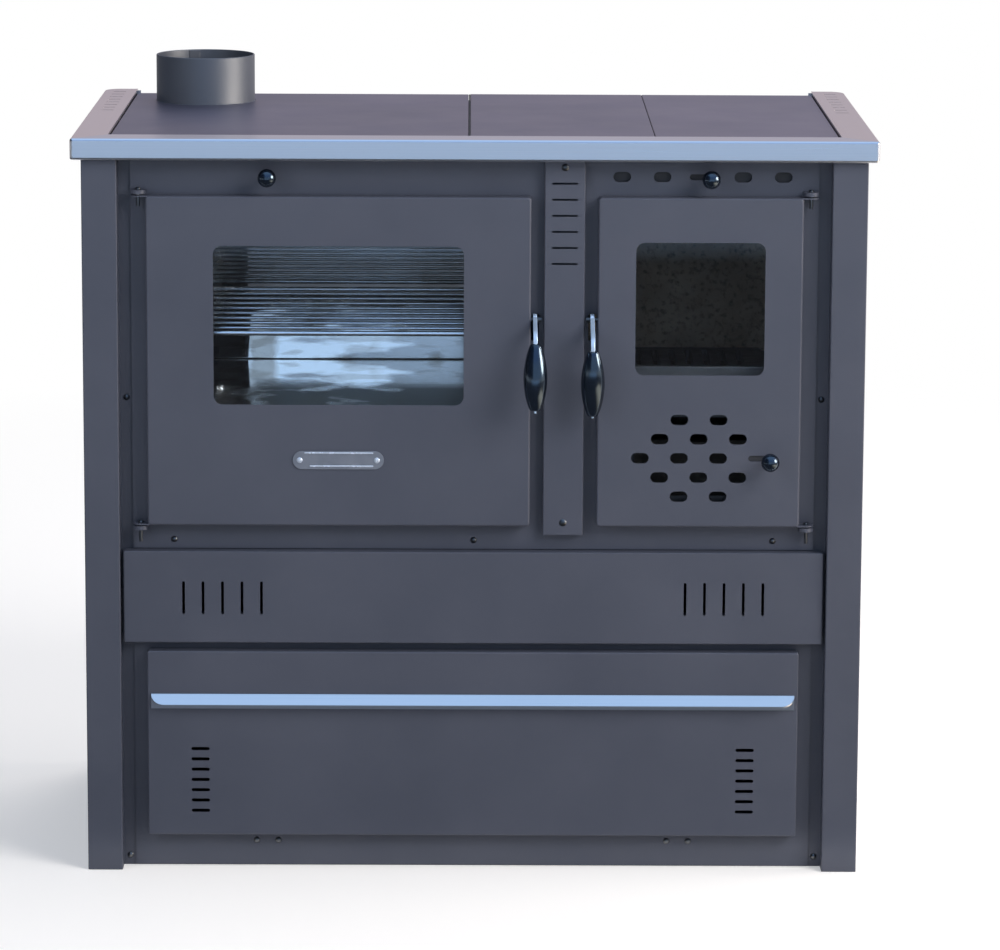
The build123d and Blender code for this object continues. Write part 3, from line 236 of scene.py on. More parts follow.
def makeCamera(look):
    yaw, pitch, roll = look["yaw"], look["pitch"], look["roll"]
    ahead = Vector((math.sin(yaw) * math.cos(pitch), math.cos(yaw) * math.cos(pitch), -math.sin(pitch)))
    right = Vector((math.cos(yaw), -math.sin(yaw), 0))
    up = right.cross(ahead)
    across = right * math.cos(roll) + up * math.sin(roll)
    upward = up * math.cos(roll) - right * math.sin(roll)
    camera = bpy.data.objects.new("camera", bpy.data.cameras.new("camera"))
    camera.data.lens = look["lens"]
    camera.data.sensor_width = look["sensor"]
    turned = Matrix((across, upward, -ahead)).transposed().to_4x4()
    camera.matrix_world = Matrix.Translation(look["place"]) @ turned
    bpy.context.scene.collection.objects.link(camera)
    bpy.context.scene.camera = camera


makeCamera(cameraLook)
bpy.context.scene.view_settings.view_transform = "Standard"


# Studio: world, lamps, pale floor and three glowing sheets that only glossy and transmission rays see

worldLook = {
    "ambient": (0.19, 0.235, 0.32),
    "front": [(0.0, (0.36, 0.48, 0.66)), (0.08, (0.46, 0.62, 0.84)), (0.30, (0.44, 0.60, 0.84)),
              (0.45, (0.29, 0.47, 0.88)), (0.62, (0.33, 0.53, 0.96)), (0.85, (0.58, 0.84, 1.22))],
    "rear": [(0.0, (0.50, 0.43, 0.46)), (0.30, (0.50, 0.44, 0.49)), (0.62, (0.52, 0.56, 0.72)),
             (0.85, (0.58, 0.84, 1.22))],
    "rearSpan": (-0.5, 0.5),
    "leftShade": 0.10,
    "leftSpan": (-0.52, -0.30),
    "shadeHeights": (0.70, 0.95),
    "throughGlass": 1.45,
}


def ramp(tree, factor, stops):
    node = put(tree, "ShaderNodeValToRGB", {"Fac": factor})
    while len(node.color_ramp.elements) < len(stops):
        node.color_ramp.elements.new(0.5)
    for element, (place, colour) in zip(node.color_ramp.elements, stops):
        element.position = place
        element.color = (*colour, 1)
    return node.outputs["Color"]


def makeWorld(look):
    # the camera sees white; glossy and transmission rays see a coloured sky, blue in front and above,
    # warmer behind and dimmer at the left
    world = bpy.data.worlds.new("studio")
    bpy.context.scene.world = world
    world.use_nodes = True
    tree = world.node_tree
    tree.nodes.clear()
    direction = put(tree, "ShaderNodeSeparateXYZ", {0: put(tree, "ShaderNodeTexCoord").outputs["Generated"]})
    rear = between(tree, direction.outputs["Y"], 0, 1, *look["rearSpan"])
    height = direction.outputs["Z"]
    sky = blendColours(tree, rear, ramp(tree, height, look["front"]), ramp(tree, height, look["rear"]))
    shade = between(tree, direction.outputs["X"], look["leftShade"], 1.0, *look["leftSpan"])
    path = put(tree, "ShaderNodeLightPath")
    behindGlass = between(tree, path.outputs["Transmission Depth"], 1.0, look["throughGlass"], 0, 1)
    dimmed = between(tree, height, shade, 1.0, *look["shadeHeights"])
    strength = calculate(tree, "MULTIPLY", dimmed, behindGlass)
    mirrored = put(tree, "ShaderNodeBackground", {"Color": sky, "Strength": strength})
    soft = put(tree, "ShaderNodeBackground", {"Color": (*look["ambient"], 1)})
    plain = put(tree, "ShaderNodeBackground", {"Color": (1, 1, 1, 1)})
    polished = calculate(tree, "MAXIMUM", path.outputs["Is Glossy Ray"], path.outputs["Is Transmission Ray"])
    first = put(tree, "ShaderNodeMixShader", {0: polished, 1: soft.outputs[0], 2: mirrored.outputs[0]})
    second = put(tree, "ShaderNodeMixShader",
                 {0: path.outputs["Is Camera Ray"], 1: first.outputs[0], 2: plain.outputs[0]})
    put(tree, "ShaderNodeOutputWorld", {"Surface": second.outputs[0]})


lampLooks = {
    "key": {"azimuth": 46, "elevation": 32, "size": 2.6, "power": 147,
            "colour": (1.0, 0.98, 0.96), "seen": "diffuse"},
    "side": {"azimuth": 94, "elevation": 12, "size": 2.4, "power": 105,
             "colour": (1.0, 0.94, 0.85), "seen": "diffuse"},
    "edge": {"azimuth": 72, "elevation": 20, "size": 2.2, "power": 180,
             "colour": (1.0, 0.92, 0.82), "seen": "gloss"},
    "fill": {"azimuth": -40, "elevation": 20, "size": 2.4, "power": 40,
             "colour": (0.92, 0.96, 1.0), "seen": "diffuse"},
    "rear": {"azimuth": 160, "elevation": 50, "size": 2.6, "power": 75,
             "colour": (1.0, 0.97, 0.94), "seen": "diffuse"},
}
lampDistance = 4.5
lampAim = Vector((0, 0, 0.40))


def makeLamp(name, look):
    azimuth, elevation = math.radians(look["azimuth"]), math.radians(look["elevation"])
    away = Vector((math.sin(azimuth) * math.cos(elevation), -math.cos(azimuth) * math.cos(elevation),
                   math.sin(elevation)))
    lamp = bpy.data.objects.new(name, bpy.data.lights.new(name, "AREA"))
    lamp.data.shape = "DISK"
    lamp.data.size = look["size"]
    lamp.data.energy = look["power"]
    lamp.data.color = look["colour"]
    lamp.location = lampAim + away * lampDistance
    lamp.visible_glossy = look["seen"] == "gloss"
    lamp.visible_diffuse = look["seen"] == "diffuse"
    lamp.rotation_euler = away.to_track_quat("Z", "Y").to_euler()
    bpy.context.scene.collection.objects.link(lamp)


floorLook = {"radius": 40.0, "segments": 96, "drop": 0.0004, "colour": (0.84, 0.80, 0.76), "roughness": 0.9,
             "glow": 0.34, "fade": (1.3, 3.2)}
cardLooks = {
    "frontCard": {"x": (-6.0, 6.0), "y": (-14.0, -0.30), "height": 0.02, "along": "Y", "fade": (5.2, 6.2),
                  "near": (0.085, 0.09, 0.105), "far": (0.95, 1.35, 1.90)},
    "sideCard": {"x": (0.60, 2.0), "y": (-1.5, -0.32), "height": 0.03, "along": "X", "fade": (0.6, 1.1),
                 "near": (0.20, 0.18, 0.15), "far": (2.2, 1.8, 1.35)},
    "leftCard": {"x": (-14.0, -1.0), "y": (-0.30, 6.0), "height": 0.02, "along": "X", "fade": (3.0, 9.0),
                 "near": (0.10, 0.11, 0.14), "far": (0.16, 0.19, 0.26)},
}


def makeFloor(look):
    # pale near the object, where it keeps the shadow, and white farther out
    shape = bmesh.new()
    bmesh.ops.create_circle(shape, cap_ends=True, segments=look["segments"], radius=look["radius"],
                            matrix=Matrix.Translation((0, 0, -look["drop"])))
    material, tree, shader = freshMaterial("paleFloor")
    shader.inputs["Base Color"].default_value = (*look["colour"], 1)
    shader.inputs["Roughness"].default_value = look["roughness"]
    shader.inputs["Specular IOR Level"].default_value = 0.0
    path = put(tree, "ShaderNodeLightPath")
    seen = calculate(tree, "MAXIMUM", path.outputs["Is Camera Ray"], path.outputs["Is Glossy Ray"])
    seen = calculate(tree, "MAXIMUM", seen, path.outputs["Is Transmission Ray"])
    glow = put(tree, "ShaderNodeEmission", {"Strength": calculate(tree, "MULTIPLY", seen, look["glow"])})
    near = put(tree, "ShaderNodeAddShader", {0: shader.outputs[0], 1: glow.outputs[0]})
    white = put(tree, "ShaderNodeEmission")
    distance = put(tree, "ShaderNodeVectorMath", {0: objectPoints(tree)}, operation="LENGTH").outputs["Value"]
    fade = between(tree, distance, 0, 1, *look["fade"])
    amount = calculate(tree, "MULTIPLY", fade, seen)
    mixed = put(tree, "ShaderNodeMixShader", {0: amount, 1: near.outputs[0], 2: white.outputs[0]})
    tree.links.new(mixed.outputs[0], tree.nodes["Material Output"].inputs["Surface"])
    meshObject("floor", shape, material)


def makeCard(name, look):
    # a glowing sheet over the floor, hidden from the camera and from diffuse and shadow rays
    centre = [sum(look[axis]) / 2 for axis in ("x", "y")]
    half = [(look[axis][1] - look[axis][0]) / 2 for axis in ("x", "y")]
    shape = bmesh.new()
    place = Matrix.Translation((*centre, look["height"])) @ Matrix.Diagonal((*half, 1, 1))
    bmesh.ops.create_grid(shape, x_segments=1, y_segments=1, size=1.0, matrix=place)
    material, tree, shader = freshMaterial(name)
    away = put(tree, "ShaderNodeSeparateXYZ", {0: objectPoints(tree)}).outputs[look["along"]]
    amount = between(tree, calculate(tree, "ABSOLUTE", away), 0, 1, *look["fade"])
    glow = put(tree, "ShaderNodeEmission", {"Color": blendColours(tree, amount, look["near"], look["far"])})
    tree.links.new(glow.outputs[0], tree.nodes["Material Output"].inputs["Surface"])
    card = meshObject(name, shape, material)
    card.visible_camera = False
    card.visible_diffuse = False
    card.visible_shadow = False


makeWorld(worldLook)
for lampName, lampLook in lampLooks.items():
    makeLamp(lampName, lampLook)
makeFloor(floorLook)
for cardName, cardLook in cardLooks.items():
    makeCard(cardName, cardLook)
print("camera and studio ready")


# Finishes

paint = surface("casePaint", {
    "dark": (0.061, 0.067, 0.091), "light": (0.073, 0.079, 0.105), "cloudScale": 7.0,
    "roughness": (0.38, 0.48), "wearScale": 26.0, "wave": (0.25, 0.0006), "grainScale": 1500.0,
    "grain": (0.12, 0.0003)})
flueEnamel = surface("flueEnamel", {
    "dark": (0.050, 0.056, 0.072), "light": (0.056, 0.063, 0.080), "cloudScale": 16.0,
    "roughness": (0.46, 0.50), "wearScale": 30.0, "wave": (0.02, 0.0002), "grainScale": 1400.0,
    "grain": (0.06, 0.0002), "ior": 1.75})
linerEnamel = surface("linerEnamel", {
    "dark": (0.030, 0.033, 0.041), "light": (0.042, 0.046, 0.055), "cloudScale": 14.0,
    "roughness": (0.22, 0.36), "wearScale": 24.0, "wave": (0.2, 0.0005), "grainScale": 900.0,
    "grain": (0.1, 0.0002)})
# the slant darkens the hob toward the left: a painted reflection of the flue
hobSteel = surface("hobSteel", {
    "dark": (0.110, 0.104, 0.145), "light": (0.150, 0.136, 0.185), "cloudScale": 5.0, "slant": 0.45,
    "roughness": (0.38, 0.42), "wearScale": 12.0, "wave": (0.01, 0.0001), "grainScale": 1100.0,
    "grain": (0.06, 0.0001), "metallic": 0.6})
platedWire = surface("platedWire", {
    "dark": (0.66, 0.67, 0.68), "light": (0.80, 0.80, 0.80), "cloudScale": 25.0,
    "roughness": (0.16, 0.26), "wearScale": 60.0, "wave": (0.1, 0.0003), "grainScale": 900.0,
    "grain": (0.05, 0.0002), "metallic": 1.0})
millSteel = surface("millSteel", {
    "dark": (0.28, 0.29, 0.30), "light": (0.38, 0.39, 0.40), "cloudScale": 11.0,
    "roughness": (0.36, 0.50), "wearScale": 18.0, "wave": (0.15, 0.0005), "grainScale": 800.0,
    "grain": (0.1, 0.0002), "metallic": 1.0})
# near black: painted shade on the drawer box behind the drawer's vents; the air slides and guides share it
darkPaintAndCavityShade = surface("darkPaintAndCavityShade", {
    "dark": (0.022, 0.023, 0.027), "light": (0.032, 0.033, 0.038), "cloudScale": 14.0,
    "roughness": (0.50, 0.62), "wearScale": 24.0, "wave": (0.2, 0.0005), "grainScale": 1100.0,
    "grain": (0.1, 0.0002)})
castIron = surface("castIron", {
    "dark": (0.055, 0.057, 0.062), "light": (0.085, 0.088, 0.094), "cloudScale": 22.0,
    "roughness": (0.50, 0.68), "wearScale": 40.0, "wave": (0.3, 0.001), "grainScale": 420.0,
    "grain": (0.5, 0.0008), "metallic": 0.25})
# near black: real soot on the firebox and flue duct, painted shade on the hob's joint laps and under the
# rim's slots
sootAndPaintedShade = surface("sootAndPaintedShade", {
    "dark": (0.010, 0.010, 0.010), "light": (0.022, 0.020, 0.018), "cloudScale": 13.0,
    "roughness": (0.65, 0.85), "wearScale": 20.0, "wave": (0.2, 0.0006), "grainScale": 600.0,
    "grain": (0.4, 0.0004)})
ashSteel = surface("ashSteel", {
    "dark": (0.055, 0.054, 0.052), "light": (0.10, 0.098, 0.092), "cloudScale": 12.0,
    "speck": (0.30, 0.29, 0.27), "speckScale": 60.0, "speckAmount": 0.5,
    "roughness": (0.55, 0.75), "wearScale": 20.0, "wave": (0.2, 0.0006), "grainScale": 700.0,
    "grain": (0.3, 0.0003), "metallic": 0.3})
zincSteel = surface("zincSteel", {
    "dark": (0.10, 0.105, 0.11), "light": (0.17, 0.175, 0.18), "cloudScale": 120.0,
    "roughness": (0.28, 0.42), "wearScale": 200.0, "wave": (0.1, 0.0002), "grainScale": 1500.0,
    "grain": (0.1, 0.0001), "metallic": 1.0})
# the levers' light blue colour is a painted reflection of the sky on the steel
leverSteelPaintedSky = surface("leverSteelPaintedSky", {
    "dark": (0.50, 0.65, 0.84), "light": (0.55, 0.70, 0.89), "cloudScale": 60.0,
    "roughness": (0.38, 0.46), "wearScale": 120.0, "wave": (0.02, 0.0001), "grainScale": 1200.0,
    "grain": (0.01, 0.0001), "metallic": 0.5})
# its blue specular tint is a painted reflection of the sky in the black plastic
blackGloss = surface("blackGloss", {
    "dark": (0.002, 0.003, 0.007), "light": (0.003, 0.0045, 0.009), "cloudScale": 40.0,
    "roughness": (0.14, 0.18), "wearScale": 80.0, "wave": (0.01, 0.0001), "grainScale": 1800.0,
    "grain": (0.01, 0.0001), "ior": 1.95, "tint": (0.60, 0.80, 1.0)})
fireBrick = surface("fireBrick", {
    "dark": (0.30, 0.235, 0.165), "light": (0.52, 0.43, 0.32), "cloudScale": 18.0,
    "speck": (0.10, 0.085, 0.07), "speckScale": 170.0, "speckAmount": 0.8,
    "roughness": (0.85, 0.95), "wearScale": 40.0, "wave": (0.4, 0.0015), "grainScale": 320.0,
    "grain": (0.7, 0.0012)})


def makeBrushedSteel():
    # the rim: brushed along its front and along its sides, with the two fields meeting at the corners; the
    # side fields carry a warm painted reflection
    look = {"dark": (0.66, 0.685, 0.735), "light": (0.72, 0.735, 0.775), "roughness": (0.27, 0.33),
            "along": 3.0, "across": 900.0, "grain": (1.0, 4.0, 0.7), "relief": (0.04, 0.0001),
            "corner": (0.4155, -0.2275), "slope": 0.909, "sideReflectionTone": (0.80, 0.71, 0.67), "sideReflectionShare": 0.8}
    material, tree, shader = freshMaterial("brushedSteel")
    along, across = look["along"], look["across"]
    grainX = noise(tree, objectPoints(tree, (along, across, across)), *look["grain"])
    grainY = noise(tree, objectPoints(tree, (across, along, across)), *look["grain"])
    point = put(tree, "ShaderNodeSeparateXYZ", {0: objectPoints(tree)})
    outward = calculate(tree, "SUBTRACT", calculate(tree, "ABSOLUTE", point.outputs["X"]), look["corner"][0])
    back = calculate(tree, "SUBTRACT", point.outputs["Y"], look["corner"][1])
    side = calculate(tree, "GREATER_THAN",
                     calculate(tree, "ADD", outward, calculate(tree, "MULTIPLY", back, look["slope"])), 0.0)
    grain = put(tree, "ShaderNodeMix", {0: side, 2: grainX, 3: grainY}, data_type="FLOAT").outputs[0]
    colour = blendColours(tree, between(tree, grain, 0, 1), look["dark"], look["light"])
    # the warm tone on the side fields is a painted reflection of the warm surroundings behind
    share = calculate(tree, "MULTIPLY", side, look["sideReflectionShare"])
    colour = blendColours(tree, share, colour, look["sideReflectionTone"])
    tree.links.new(colour, shader.inputs["Base Color"])
    tree.links.new(between(tree, grain, *look["roughness"]), shader.inputs["Roughness"])
    tree.links.new(bumpOf(tree, grain, *look["relief"]), shader.inputs["Normal"])
    shader.inputs["Metallic"].default_value = 1.0
    return material


def makePolishedSteel():
    # oven walls: a mirror with slow waves and brown heat stains, a soiled floor and a painted shade line in
    # the crease at the foot of the back wall; a span of four is the two results and the two inputs of a map
    # range
    look = {"clean": (0.92, 0.92, 0.91), "stain": (0.46, 0.42, 0.37), "floorStain": (0.050, 0.056, 0.050),
            "fold": (0.02, 0.02, 0.02), "roughness": (0.02, 0.42), "metallic": (1.0, 0.15),
            "blotNoise": (17.0, 1.5), "blotSpan": (0, 0.85, 0.52, 0.62), "blotHeights": (1, 0, 0.58, 0.66),
            "patchNoise": (7.0, 4.0), "patchSlant": 0.9, "patchSpan": (0.05, 1.0, 0.30, 0.40),
            "patchDepths": (1.0, 0.5, -0.05, 0.0), "waveNoise": (2.2, 0.0), "wave": (0.03, 0.004),
            "backFace": 0.1685, "foldTop": 0.5312, "floorTop": 0.532}
    material, tree, shader = freshMaterial("polishedSteel")
    points = objectPoints(tree)
    place = put(tree, "ShaderNodeSeparateXYZ", {0: points})
    blots = between(tree, noise(tree, points, *look["blotNoise"]), *look["blotSpan"])
    low = between(tree, place.outputs["Z"], *look["blotHeights"])
    colour = blendColours(tree, calculate(tree, "MULTIPLY", blots, low), look["clean"], look["stain"])
    slant = calculate(tree, "MULTIPLY", place.outputs["X"], look["patchSlant"])
    patches = calculate(tree, "ADD", noise(tree, points, *look["patchNoise"]), slant)
    onFloor = calculate(tree, "LESS_THAN", place.outputs["Z"], look["floorTop"])
    front = between(tree, place.outputs["Y"], *look["patchDepths"])
    soiled = calculate(tree, "MULTIPLY", between(tree, patches, *look["patchSpan"]), front)
    soiled = calculate(tree, "MULTIPLY", soiled, onFloor)
    colour = blendColours(tree, soiled, colour, look["floorStain"])
    # painted shade: near black where the floor folds up into the back wall
    fold = calculate(tree, "MULTIPLY", calculate(tree, "GREATER_THAN", place.outputs["Y"], look["backFace"]),
                     calculate(tree, "LESS_THAN", place.outputs["Z"], look["foldTop"]))
    tree.links.new(blendColours(tree, fold, colour, look["fold"]), shader.inputs["Base Color"])
    tree.links.new(between(tree, soiled, *look["roughness"], 0.0, 1.0), shader.inputs["Roughness"])
    tree.links.new(between(tree, soiled, *look["metallic"], 0.0, 1.0), shader.inputs["Metallic"])
    wave = bumpOf(tree, noise(tree, points, *look["waveNoise"]), *look["wave"])
    tree.links.new(wave, shader.inputs["Normal"])
    return material


def makeGlass():
    # shadow rays pass it with a grey tint, so the rooms behind it are lit
    look = {"tint": (0.90, 0.94, 0.97), "ior": 1.45, "shade": (0.45, 0.48, 0.50), "hazeNoise": (9.0, 4.0),
            "hazeSpan": (0.0, 0.012, 0.45, 0.75), "waveNoise": (4.0, 1.0), "wave": (0.05, 0.0005)}
    material, tree, shader = freshMaterial("doorGlass")
    points = objectPoints(tree)
    haze = between(tree, noise(tree, points, *look["hazeNoise"]), *look["hazeSpan"])
    tree.links.new(haze, shader.inputs["Roughness"])
    shader.inputs["Base Color"].default_value = (*look["tint"], 1)
    shader.inputs["Transmission Weight"].default_value = 1.0
    shader.inputs["IOR"].default_value = look["ior"]
    wave = bumpOf(tree, noise(tree, points, *look["waveNoise"]), *look["wave"])
    tree.links.new(wave, shader.inputs["Normal"])
    clear = put(tree, "ShaderNodeBsdfTransparent", {"Color": (*look["shade"], 1)})
    path = put(tree, "ShaderNodeLightPath")
    mixed = put(tree, "ShaderNodeMixShader",
                {0: path.outputs["Is Shadow Ray"], 1: shader.outputs[0], 2: clear.outputs[0]})
    tree.links.new(mixed.outputs[0], tree.nodes["Material Output"].inputs["Surface"])
    return material


def makeRope():
    look = {"dark": (0.030, 0.030, 0.030), "light": (0.11, 0.11, 0.105), "scale": 620.0 / 6.0,
            "distortion": 1.5, "relief": (0.9, 0.0008), "roughness": 0.95, "sheen": 0.2}
    material, tree, shader = freshMaterial("ropeSeal")
    points = objectPoints(tree)
    sockets = {"Vector": points, "Scale": look["scale"], "Distortion": look["distortion"]}
    strands = put(tree, "ShaderNodeTexWave", sockets, bands_direction="DIAGONAL").outputs["Fac"]
    tree.links.new(blendColours(tree, strands, look["dark"], look["light"]), shader.inputs["Base Color"])
    tree.links.new(bumpOf(tree, strands, *look["relief"]), shader.inputs["Normal"])
    shader.inputs["Roughness"].default_value = look["roughness"]
    shader.inputs["Sheen Weight"].default_value = look["sheen"]
    return material


brushedSteel = makeBrushedSteel()
polishedSteel = makePolishedSteel()
doorGlass = makeGlass()
ropeSeal = makeRope()

slotFinishes = {
    "case_paint": paint, "rim_steel": brushedSteel, "hob_steel": hobSteel, "flue_enamel": flueEnamel,
    "inner_steel": millSteel, "oven_steel": polishedSteel, "liner_enamel": linerEnamel,
    "rack_chrome": platedWire, "cast_iron": castIron, "firebrick": fireBrick, "door_glass": doorGlass,
    "rope_seal": ropeSeal, "fixing_steel": zincSteel, "lever_steel": leverSteelPaintedSky, "knob_plastic": blackGloss,
}
# the drawer box is near black as painted shade, so the drawer's vents read as dark holes
ownFinishes = {
    "firebox_shell": sootAndPaintedShade, "ash_pan": ashSteel, "cleanout_cover": paint, "flue_duct": sootAndPaintedShade,
    "drawer_box": darkPaintAndCavityShade, "primary_air_slide": darkPaintAndCavityShade, "primary_guides": darkPaintAndCavityShade,
    "secondary_air_slide": darkPaintAndCavityShade, "secondary_guides": darkPaintAndCavityShade,
}
for row in frame["record"]["subparts"]:
    dress(row["node"], ownFinishes.get(row["node"], slotFinishes[row["material_slot"]]))
print("finishes on", len(frame["nodes"]), "nodes")


# Grips: turned black barrels on the levers

gripLook = {
    "pivot": (0, -249.0, 643.4),
    "foot": 542.4,
    "axisY": -293.0,
    "profile": [(2.75, 0.3), (5.2, 0.0), (6.2, 0.7), (7.4, 3.3), (9.1, 7.8), (10.6, 12.8), (12.0, 19.2),
                (13.1, 27.0), (13.65, 34.5), (13.65, 40.5), (13.0, 48.5), (11.7, 57.0), (9.9, 64.5),
                (7.9, 70.8), (6.4, 74.5), (5.2, 75.8), (2.75, 76.0)],
    "steps": 48,
    "grips": {"oven": (69.0, -5.5), "fire": (134.1, 5.5)},
}


def hangingPlace(turn):
    pivot = Vector(gripLook["pivot"]) / 1000
    swing = Matrix.Rotation(math.radians(turn), 4, "X")
    return Matrix.Translation(pivot) @ swing @ Matrix.Translation(-pivot)


for door, (x, turn) in gripLook["grips"].items():
    foot = Matrix.Translation((x / 1000, gripLook["axisY"] / 1000, gripLook["foot"] / 1000))
    barrel = turnedShape(gripLook["profile"], gripLook["steps"], hangingPlace(turn) @ foot, closed=True)
    piece = finishPiece(door + "Grip", barrel, blackGloss, door + "_handle", [door + "_grip"])
    addModifier(piece, "SUBSURF", levels=1, render_levels=1)
print("grips turned")


# Levers: the CAD plates made slimmer, with rounded edges

leverLook = {"share": 0.76, "flatAngle": 0.02, "edges": (0.0007, 2, 40),
             "levers": {"oven": "oven_latch_lever", "fire": "fire_latch_lever"}}

for door, node in leverLook["levers"].items():
    shape = bmesh.new()
    shape.from_mesh(frame["nodes"][node].data)
    closeShape(shape)
    xs = [corner.co.x for corner in shape.verts]
    centre = Matrix.Translation(((min(xs) + max(xs)) / 2, 0, 0))
    slim = centre @ Matrix.Diagonal((leverLook["share"], 1, 1, 1)) @ centre.inverted()
    bmesh.ops.transform(shape, matrix=slim, verts=shape.verts)
    bmesh.ops.dissolve_limit(shape, angle_limit=leverLook["flatAngle"], verts=shape.verts, edges=shape.edges)
    piece = finishPiece(door + "Lever", shape, leverSteelPaintedSky, door + "_handle", [node],
                        smooth=False)
    softenEdges(piece, *leverLook["edges"])
print("levers slimmed")


# Ball knobs of the two air slides and of the damper, the slides' two with a rod

knobLook = {
    "profile": [(0, 10.5), (2.75, 10.13), (5.25, 9.09), (7.42, 7.42), (9.09, 5.25), (10.13, 2.75),
                (10.5, 0.0), (10.13, -2.75), (9.09, -5.25), (7.42, -7.42), (5.6, -8.8), (4.7, -9.6),
                (4.35, -10.4), (4.5, -13.6), (4.2, -14.5), (3.1, -14.5)],
    "steps": 40,
    "rodStart": -7.0, "rodEdge": 0.3, "rodSteps": 32,
    "knobs": {
        "primary": ((336.35, -284.0, 485.35), "primary_slide", "primary_air_knob", (3.0, -255.6)),
        "secondary": ((266.7, -264.0, 805.2), "secondary_slide", "secondary_air_knob", (3.0, -232.6)),
        "damper": ((-234.4, -264.0, 805.2), "flue_damper", "damper_knob", None),
    },
}

for name, (centre, body, node, rod) in knobLook["knobs"].items():
    ball = turnedShape(knobLook["profile"], knobLook["steps"], facingFront(*centre))
    finishPiece(name + "Knob", ball, blackGloss, body, [node])
    if rod:
        radius, end = rod
        length = end - centre[1]
        start, edge = knobLook["rodStart"], knobLook["rodEdge"]
        outline = [(0, start), (radius, start), (radius, -length + edge), (radius - edge, -length),
                   (0, -length)]
        stem = turnedShape(outline, knobLook["rodSteps"], facingFront(*centre))
        finishPiece(name + "Rod", stem, zincSteel, body, smooth=False)
print("knobs turned")


# Flue collar: rolled sheet with a lapped seam inside, a stiffened lip and the flange in the hob

collarLook = {
    "axis": (-326.4, 175.2),
    "profile": [(57.5, 837.0), (71.5, 837.0), (71.5, 839.0), (60.5, 839.0), (60.5, 846.7), (59.5, 847.0),
                (59.5, 901.9), (59.2, 902.7), (58.6, 903.0), (58.0, 903.0), (57.6, 902.6), (57.5, 902.0)],
    "steps": 128,
    "edges": (0.0003, 2, 40),
    "seam": {"angle": 106.5, "radius": 57.55, "width": 13.0, "thick": 1.1, "low": 839.0, "high": 902.0,
             "edge": 0.0004, "segments": 2},
}


def makeCollar(look):
    centre = Matrix.Translation((look["axis"][0] / 1000, look["axis"][1] / 1000, 0))
    shape = turnedShape(look["profile"], look["steps"], centre, closed=True)
    piece = finishPiece("flueCollar", shape, flueEnamel, "stove", ["flue_collar"])
    softenEdges(piece, *look["edges"])
    seam = look["seam"]
    size = (seam["thick"] / 1000, seam["width"] / 1000, (seam["high"] - seam["low"]) / 1000)
    lap = bevelledBlock(size, (0, 0, 0), seam["edge"], seam["segments"])
    radius = seam["radius"] - seam["thick"] / 2
    middle = (seam["low"] + seam["high"]) / 2000
    outward = Matrix.Translation((radius / 1000, 0, middle))
    turned = Matrix.Rotation(math.radians(seam["angle"]), 4, "Z") @ outward
    bmesh.ops.transform(lap, matrix=centre @ turned, verts=lap.verts)
    finishPiece("flueSeam", lap, flueEnamel, "stove", smooth=False)


makeCollar(collarLook)
print("flue collar rolled")


# Plain name plate of the oven door: an obround with two ribs and two rivets

plateLook = {
    "x": (-206.3, -102.5), "z": (471.4, 492.6), "face": -258.0, "thick": 1.4, "segments": 32,
    "edges": (0.0004, 2, 35),
    "ribs": [((-193.0, -114.5), 490.4), ((-187.0, -114.5), 475.2)], "rib": (2.0, 0.9), "sunk": 0.3,
    "ribSegments": 16, "ribEdges": (0.0006, 3, 35),
    "rivets": (-198.4, -110.4), "rivetSteps": 28,
    "rivet": [(0, 1.7), (1.3, 1.55), (2.4, 1.1), (3.2, 0.45), (3.5, -0.2), (0, -0.3)],
}
plateSteel = surface("plateSteel", {
    "dark": (0.17, 0.19, 0.23), "light": (0.21, 0.23, 0.275), "cloudScale": 60.0,
    "roughness": (0.42, 0.52), "wearScale": 120.0, "wave": (0.1, 0.0002), "grainScale": 1500.0,
    "grain": (0.1, 0.0001), "metallic": 0.3})
# the light blue of the ribs and rivets is a painted reflection of the sky on the steel
brightSteelPaintedSky = surface("brightSteelPaintedSky", {
    "dark": (0.56, 0.63, 0.74), "light": (0.64, 0.71, 0.82), "cloudScale": 60.0,
    "roughness": (0.22, 0.30), "wearScale": 120.0, "wave": (0.05, 0.0001), "grainScale": 1500.0,
    "grain": (0.05, 0.0001), "metallic": 0.35})


def obround(x, z, back, thick, segments):
    # a flat piece with round ends that stands on a face at back, in millimetres
    radius = (z[1] - z[0]) / 2000
    reach = (x[1] - x[0]) / 2000 - radius
    shape = bmesh.new()
    bmesh.ops.create_circle(shape, cap_ends=True, segments=segments, radius=radius,
                            matrix=Matrix.Rotation(math.pi / segments, 4, "Z"))
    for side in (-1, 1):
        end = [corner for corner in shape.verts if corner.co.x * side > 0]
        bmesh.ops.translate(shape, verts=end, vec=(side * reach, 0, 0))
    thicken(shape, thick)
    bmesh.ops.transform(shape, matrix=facingFront(sum(x) / 2, back, sum(z) / 2), verts=shape.verts)
    return shape


def makePlate(look):
    plate = obround(look["x"], look["z"], look["face"], look["thick"], look["segments"])
    piece = finishPiece("ovenDoorPlate", plate, plateSteel, "oven_door", smooth=False)
    softenEdges(piece, *look["edges"])
    front = look["face"] - look["thick"]
    width, height = look["rib"]
    sunk = look["sunk"]
    for i, (x, z) in enumerate(look["ribs"]):
        rib = obround(x, (z - width / 2, z + width / 2), front + sunk, height + sunk, look["ribSegments"])
        piece = finishPiece("plateRib%d" % (i + 1), rib, brightSteelPaintedSky, "oven_door", smooth=False)
        softenEdges(piece, *look["ribEdges"])
    for i, x in enumerate(look["rivets"]):
        rivet = turnedShape(look["rivet"], look["rivetSteps"], facingFront(x, front, sum(look["z"]) / 2))
        finishPiece("plateRivet%d" % (i + 1), rivet, brightSteelPaintedSky, "oven_door")


makePlate(plateLook)
print("name plate set")


# Reflector sheet on the lower part of the oven's back wall: its top leans forward, most in the middle

ovenBackLook = {"x": (-341.0, 33.0), "z": (530.4, 612.0), "y": 170.3, "thick": 0.5, "lean": 1.4, "swell": 0.7,
                "squares": (28, 10), "sharpAngle": 0.6}


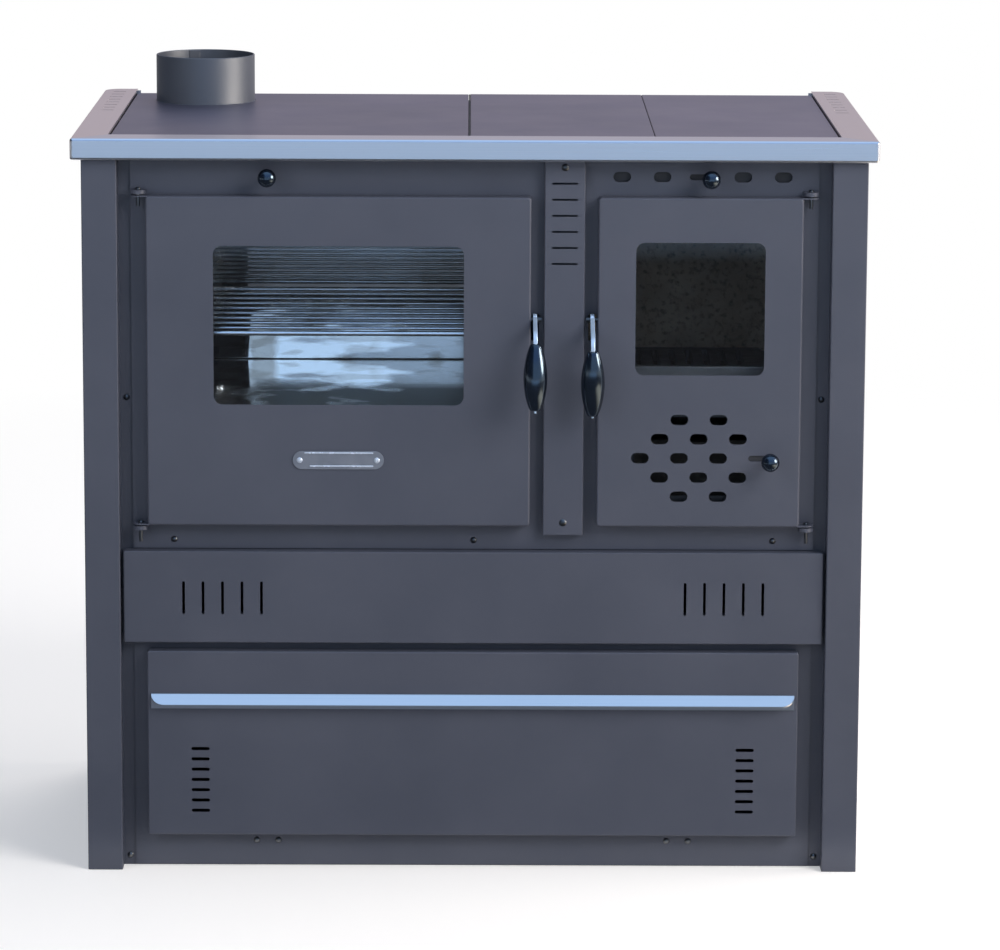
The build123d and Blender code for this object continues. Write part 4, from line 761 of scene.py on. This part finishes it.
def makeOvenBack(look):
    half = [(look[axis][1] - look[axis][0]) / 2000 for axis in ("x", "z")]
    shape = bmesh.new()
    bmesh.ops.create_grid(shape, x_segments=look["squares"][0], y_segments=look["squares"][1], size=1.0)
    for corner in shape.verts:
        corner.co.z = look["lean"] / 1000 * (1 - look["swell"] * corner.co.x ** 2) * (1 + corner.co.y) / 2
    bmesh.ops.scale(shape, vec=(*half, 1), verts=shape.verts)
    thicken(shape, look["thick"])
    for edge in shape.edges:
        edge.smooth = edge.calc_face_angle(0) < look["sharpAngle"]
    place = facingFront(sum(look["x"]) / 2, look["y"], sum(look["z"]) / 2)
    bmesh.ops.transform(shape, matrix=place, verts=shape.verts)
    finishPiece("ovenBackWall", shape, polishedSteel, "stove")


makeOvenBack(ovenBackLook)
print("oven reflector set")


# Laps under the two joints of the hob, which close the view through them; their near black is painted shade
# in the joints

lapLook = {"y": (-225.5, 252.0), "z": (839.2, 846.95), "joints": [(-6.1, 1.9), (204.85, 0.4)], "edge": 0.0001}

for i, (x, width) in enumerate(lapLook["joints"]):
    size = (width / 1000, *((lapLook[axis][1] - lapLook[axis][0]) / 1000 for axis in ("y", "z")))
    centre = (x / 1000, sum(lapLook["y"]) / 2000, sum(lapLook["z"]) / 2000)
    lap = bevelledBlock(size, centre, lapLook["edge"])
    finishPiece("hobLap%d" % (i + 1), lap, sootAndPaintedShade, "stove", smooth=False)
print("hob joints closed")


# Dark sheet under the slots in the rim's two side tops: painted shade in the slots

slotShadeLook = {"x": (423.0, 447.5), "y": (18.0, 252.0), "z": (845.6, 846.6), "edge": 0.0002}

for i, side in enumerate((-1, 1)):
    size = [(slotShadeLook[axis][1] - slotShadeLook[axis][0]) / 1000 for axis in ("x", "y", "z")]
    centre = [sum(slotShadeLook[axis]) / 2000 for axis in ("x", "y", "z")]
    sheet = bevelledBlock(size, (side * centre[0], centre[1], centre[2]), slotShadeLook["edge"])
    finishPiece("slotShade%d" % (i + 1), sheet, sootAndPaintedShade, "stove", smooth=False)
print("rim slots backed")
